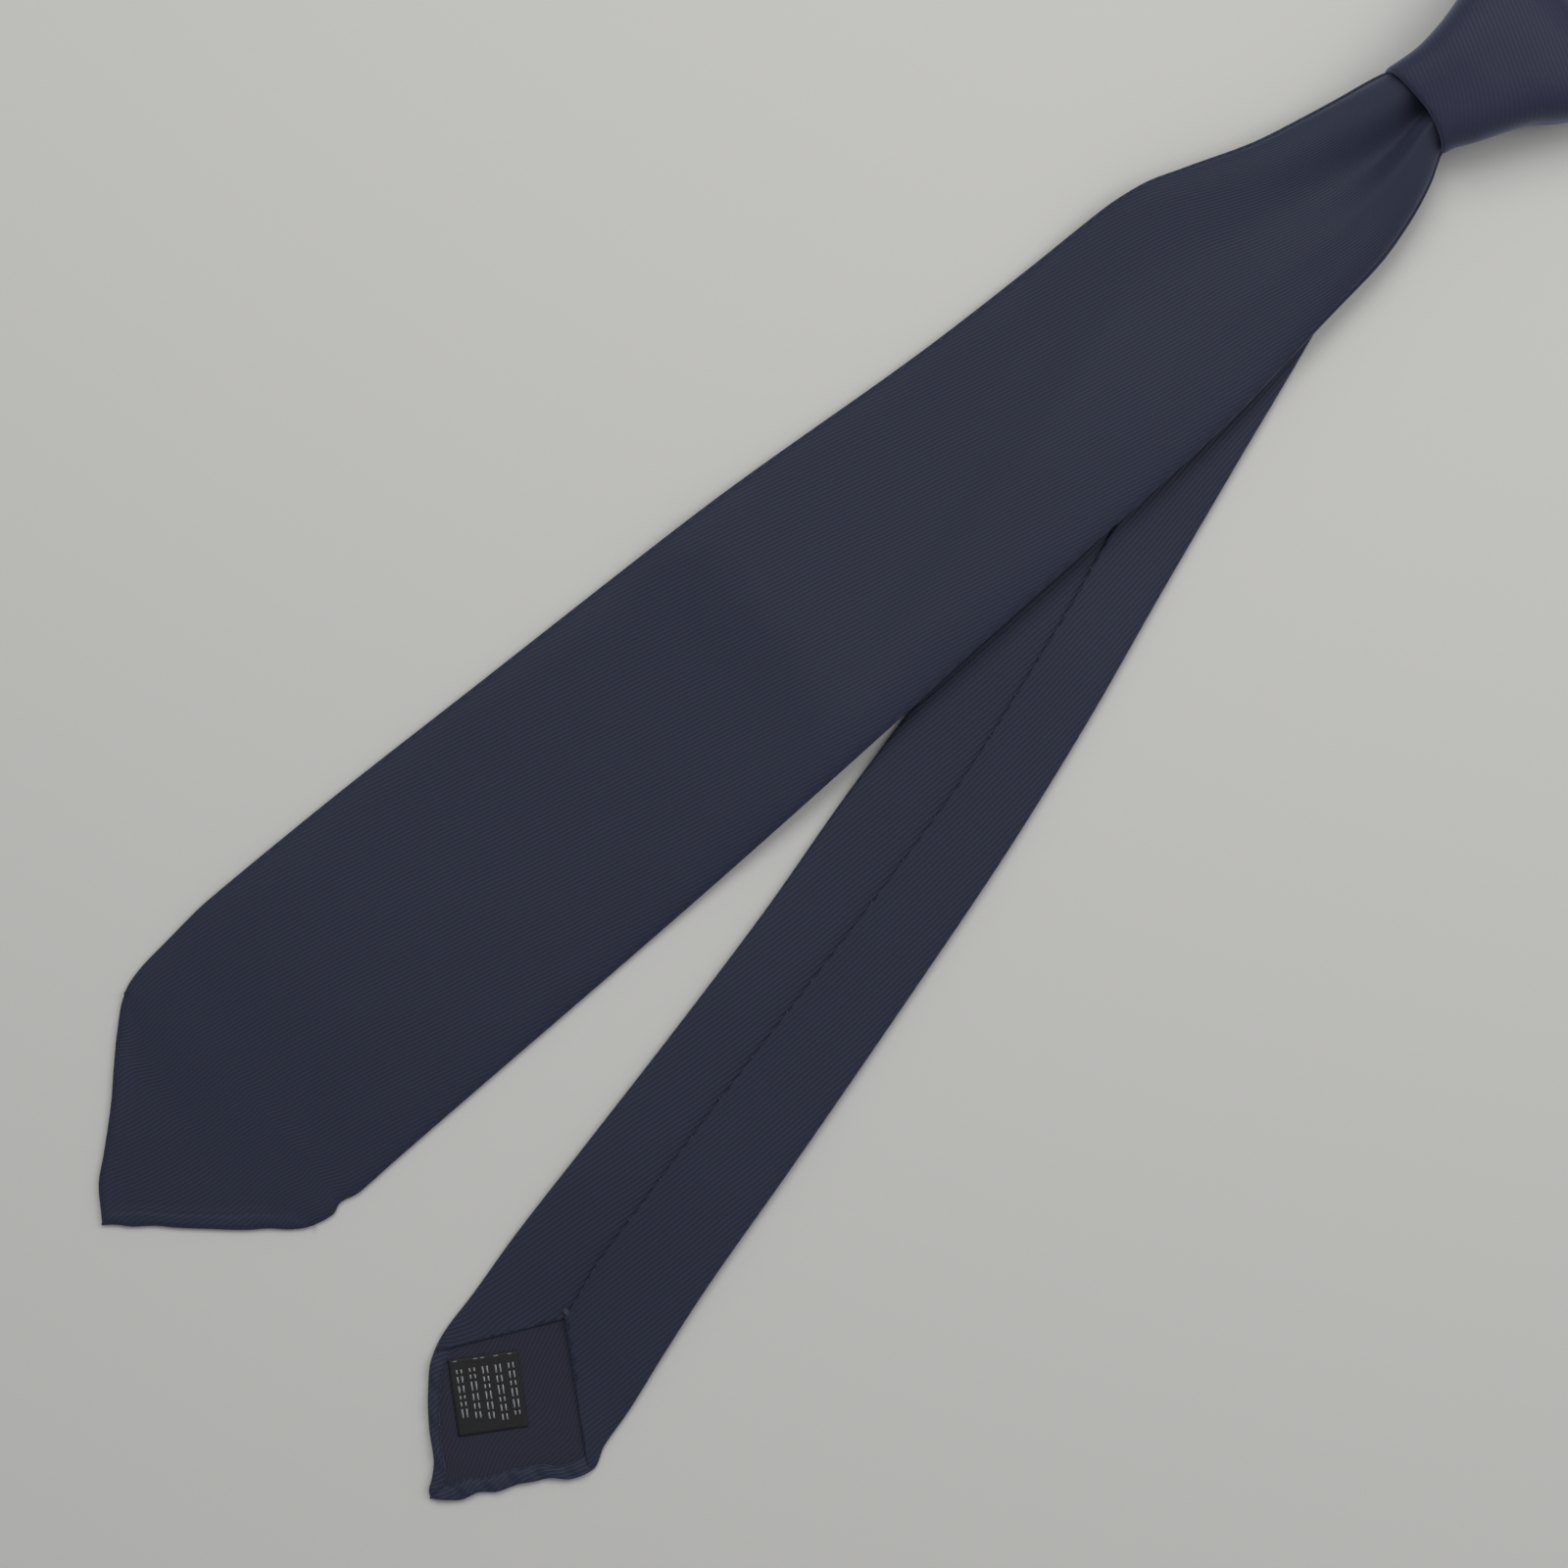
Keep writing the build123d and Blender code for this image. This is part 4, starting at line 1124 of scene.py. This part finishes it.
def band_point(place, up, out, height, ends):
    """A point of the band's surface, up it from 0 to 1, and from its inside (-1) to its outside (1)."""
    x, y, nx, ny = band_place(float(np.clip(place, 0, ROUND)))
    low, high = float(BAND_LOW(y)), float(BAND_HIGH(y))
    ring = ring_share(y)
    gathered = 1 + GATHER * (1 - float(smoothstep(y, *GATHER_Y)))
    half = BAND_T * (0.86 + 0.14 * min(1, height / 20)) * ends * gathered / 2
    z = low + up * (high - low)
    if abs(out) < 1 and up in (0.0, 1.0):
        offset = half * out * 0.35
        if up or low >= 0.5:
            z += 0.45 * math.sqrt(1 - out * out) * (1 if up else -1)
    else:
        offset = half * out * (0.35 + 0.65 * edge_round(min(up, 1 - up) * height, 1.7))
        if out < 0:
            offset -= 0.22 * float(smoothstep(up, 0.47, 0.50) - smoothstep(up, 0.50, 0.62))
        offset += 0.28 * (gathered - 1) * math.sin(up * 13 + out)
    offset += ring * math.sin(place * 0.035) * (up - 0.5) * 2
    offset += ring * 0.6 * math.sin(place * 0.06 + 1) * (up - 0.3)
    z = min(max(z, 0.1) + 0.35 * ring * math.sin(place * 0.05) * up, BAND_TOP)
    return x + nx * offset, y + ny * offset, z


def band_grid(start, end, seam_start, seam_end):
    """The band's surface between two distances round the loop."""
    runs = np.linspace(start, end, max(int((end - start) / BAND_STEP), 6))
    extra = [start + SEAM_ROUND * q for q in (0.15, 0.4, 0.7)] if seam_start else []
    extra += [end - SEAM_ROUND * q for q in (0.7, 0.4, 0.15)] if seam_end else []
    rows, cloth = [], []
    for run in np.unique(np.concatenate([runs, extra])):
        from_seam = min(run - start if seam_start else FAR, end - run if seam_end else FAR)
        ends = SEAM_THICK + (1 - SEAM_THICK) * float(edge_round(from_seam, SEAM_ROUND))
        y = band_place(run)[1]
        height = float(BAND_HIGH(y) - BAND_LOW(y))
        lean = height * shear_at(run) * (1 if run < ROUND / 2 else -1)
        section = [(run + (up - 0.5) * lean, up, out) for up, out in band_section()]
        rows.append([band_point(*part, height, ends) for part in section])
        cloth.append([(point[2], part[0]) for point, part in zip(rows[-1], section)])
    cloth = close_rings(np.array(cloth))
    return np.array(rows), weave(cloth[..., 0], cloth[..., 1], BAND_RIB_ANGLE)


def band_piece(name, start, end, seam_start=False, seam_end=False):
    """One panel of the loop: a flattened tube of silk, open at both ends."""
    points, cloth = band_grid(start, end, seam_start, seam_end)
    bm = ring_mesh(points, cloth, capped=False)
    bm.faces.ensure_lookup_table()
    first = bm.faces[0]
    if first.normal.dot(first.calc_center_median() - Vector(points[:2].mean(axis=(0, 1))) * MM) < 0:
        bmesh.ops.reverse_faces(bm, faces=bm.faces)
    return finish_mesh(bm, name, [silk_face, silk_back], thickness=SILK, inner_slot=1)


run_root = (ROOT_START_Y - NECK_TOUCH[1]) / LEG_RISE
run_ring = (RING_START_Y - NECK_TOUCH[1]) / LEG_RISE
loop_root_left = band_piece("loop_root_left", run_root, run_ring)
loop_root_right = band_piece("loop_root_right", ROUND - run_ring, ROUND - run_root)
loop_front = band_piece("loop_front", run_ring, BIAS_LEFT, seam_end=True)
loop_gusset = band_piece("loop_gusset", BIAS_LEFT, BIAS_RIGHT, seam_start=True, seam_end=True)
loop_tail = band_piece("loop_tail", BIAS_RIGHT, ROUND - run_ring, seam_start=True)


def make_loop_threads():
    """Slip stitches along the band's inner seam."""
    made = []
    for run in np.arange(run_ring + 16, ROUND - run_ring - 12, 9.5):
        x, y, nx, ny = band_place(run)
        z = float(BAND_LOW(y) + BAND_HIGH(y)) / 2
        inner = -BAND_T / 2 - 0.05 + ring_share(y) * 0.12 * math.sin(run * 0.06 + 1)
        tx, ty = -ny, nx
        x, y = x + nx * inner, y + ny * inner
        end_point = (x + tx * 0.4, y + ty * 0.4, z + 0.7)
        made.append(stitch((x - tx * 0.5, y - ty * 0.5, z - 0.8), end_point, 0, 0.14))
    return join("loop_threads", made)


loop_threads = make_loop_threads()


# -------- bodies

def place_piece(piece, slot, body, *nodes):
    """Attaches the piece to the body that it rides on, and hides the CAD nodes that it stands for. The slot
    is not used.
    """
    if body:
        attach(piece, body)
    if nodes:
        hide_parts(*nodes)


place_piece(front_silk, "navy_silk", None, "front_blade_silk", "front_tip_hem", "front_blade_pass")
place_piece(front_core, "wool_interlining", None, "front_interlining")
place_piece(tail_silk, "navy_silk", None, "tail_blade_silk", "tail_tip_hem", "tail_strip_silk")
place_piece(tail_core, "wool_interlining", None, "tail_interlining", "tail_strip_interlining")
for piece in (front_silk, front_core):
    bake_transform(piece)
for piece in (tail_silk, tail_core):
    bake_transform(piece)
place_piece(knot_wrap, "navy_silk", "knot", "knot_front_wrap", "knot_back_wrap", "knot_wrap_interlining")
place_piece(inner_turn, "navy_silk", "knot", "knot_inner_turn")
place_piece(cross_turn, "navy_silk", "knot", "knot_cross_turn")
place_piece(front_seam_threads, "navy_thread", "front_blade", "front_slip_stitches")
place_piece(front_hem_threads, "navy_thread", "front_blade", "front_hem_stitches")
place_piece(front_tack, "navy_thread", "front_blade", "front_bar_tack")
place_piece(keeper, "navy_silk", "front_blade", "keeper_loop")
place_piece(keeper_threads, "navy_thread", "front_blade", "keeper_stitches")
place_piece(tail_seam_threads, "navy_thread", "tail_blade", "tail_slip_stitches")
place_piece(tail_hem_threads, "navy_thread", "tail_blade", "tail_hem_stitches")
place_piece(tail_tack, "navy_thread", "tail_blade", "tail_bar_tack")
place_piece(label, "label_cloth", "tail_blade", "composition_label")
place_piece(label_marks, "navy_thread", "tail_blade", "label_stitches")
place_piece(loop_root_left, "navy_silk", None, "neck_band_ends")
place_piece(loop_root_right, "navy_silk", None)
for piece in (loop_root_left, loop_root_right):
    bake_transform(piece)
place_piece(loop_front, "navy_silk", "neck_loop", "neck_front_panel", "neck_interlining")
place_piece(loop_gusset, "navy_silk", "neck_loop", "neck_gusset")
place_piece(loop_tail, "navy_silk", "neck_loop", "neck_tail_panel")
place_piece(loop_threads, "navy_thread", "neck_loop", "neck_slip_stitches")
for piece in (loop_front, loop_gusset, loop_tail, loop_threads):
    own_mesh(piece)

# -------- floor, light and camera

floor_mesh = bpy.data.meshes.new("floor")
floor_mesh.from_pydata([(-FLOOR, -FLOOR, 0), (FLOOR, -FLOOR, 0), (FLOOR, FLOOR, 0), (-FLOOR, FLOOR, 0)],
                       [], [(0, 1, 2, 3)])
floor_mesh.materials.append(table_top("table_top"))
floor = new_object("floor", floor_mesh)
floor.location.z = -FLOOR_DROP


def add_light(name, place, power):
    """A soft disk of light, turned to the middle of the view."""
    light = bpy.data.lights.new(name, "AREA")
    light.shape = "DISK"
    light.size = LIGHT_SIZE
    light.energy = power
    light.color = LIGHT_COLOUR
    made = new_object(name, light)
    made.location = place
    target = Vector((VIEW_CENTRE[0] * MM, VIEW_CENTRE[1] * MM, 0))
    made.rotation_euler = (target - Vector(place)).to_track_quat("-Z", "Y").to_euler()


add_light("key", (-0.63, 0.10, 1.15), 7.2)
add_light("fill", (0.28, 0.56, 0.92), 4.6)

world = bpy.data.worlds.new("room")
world.use_nodes = True
background = world.node_tree.nodes["Background"]
background.inputs["Color"].default_value = (0.97, 0.98, 1.0, 1)
background.inputs["Strength"].default_value = ROOM_LIGHT
bpy.context.scene.world = world
bpy.context.scene.view_settings.view_transform = "Standard"

camera_data = bpy.data.cameras.new("camera")
camera_data.sensor_width = SENSOR
camera_data.lens = SENSOR * CAMERA_HEIGHT / VIEW_WIDTH
camera = new_object("camera", camera_data)
camera.location = (VIEW_CENTRE[0] * MM, VIEW_CENTRE[1] * MM, CAMERA_HEIGHT * MM)
camera.rotation_euler = (0, 0, math.radians(VIEW_TURN))
bpy.context.scene.camera = camera
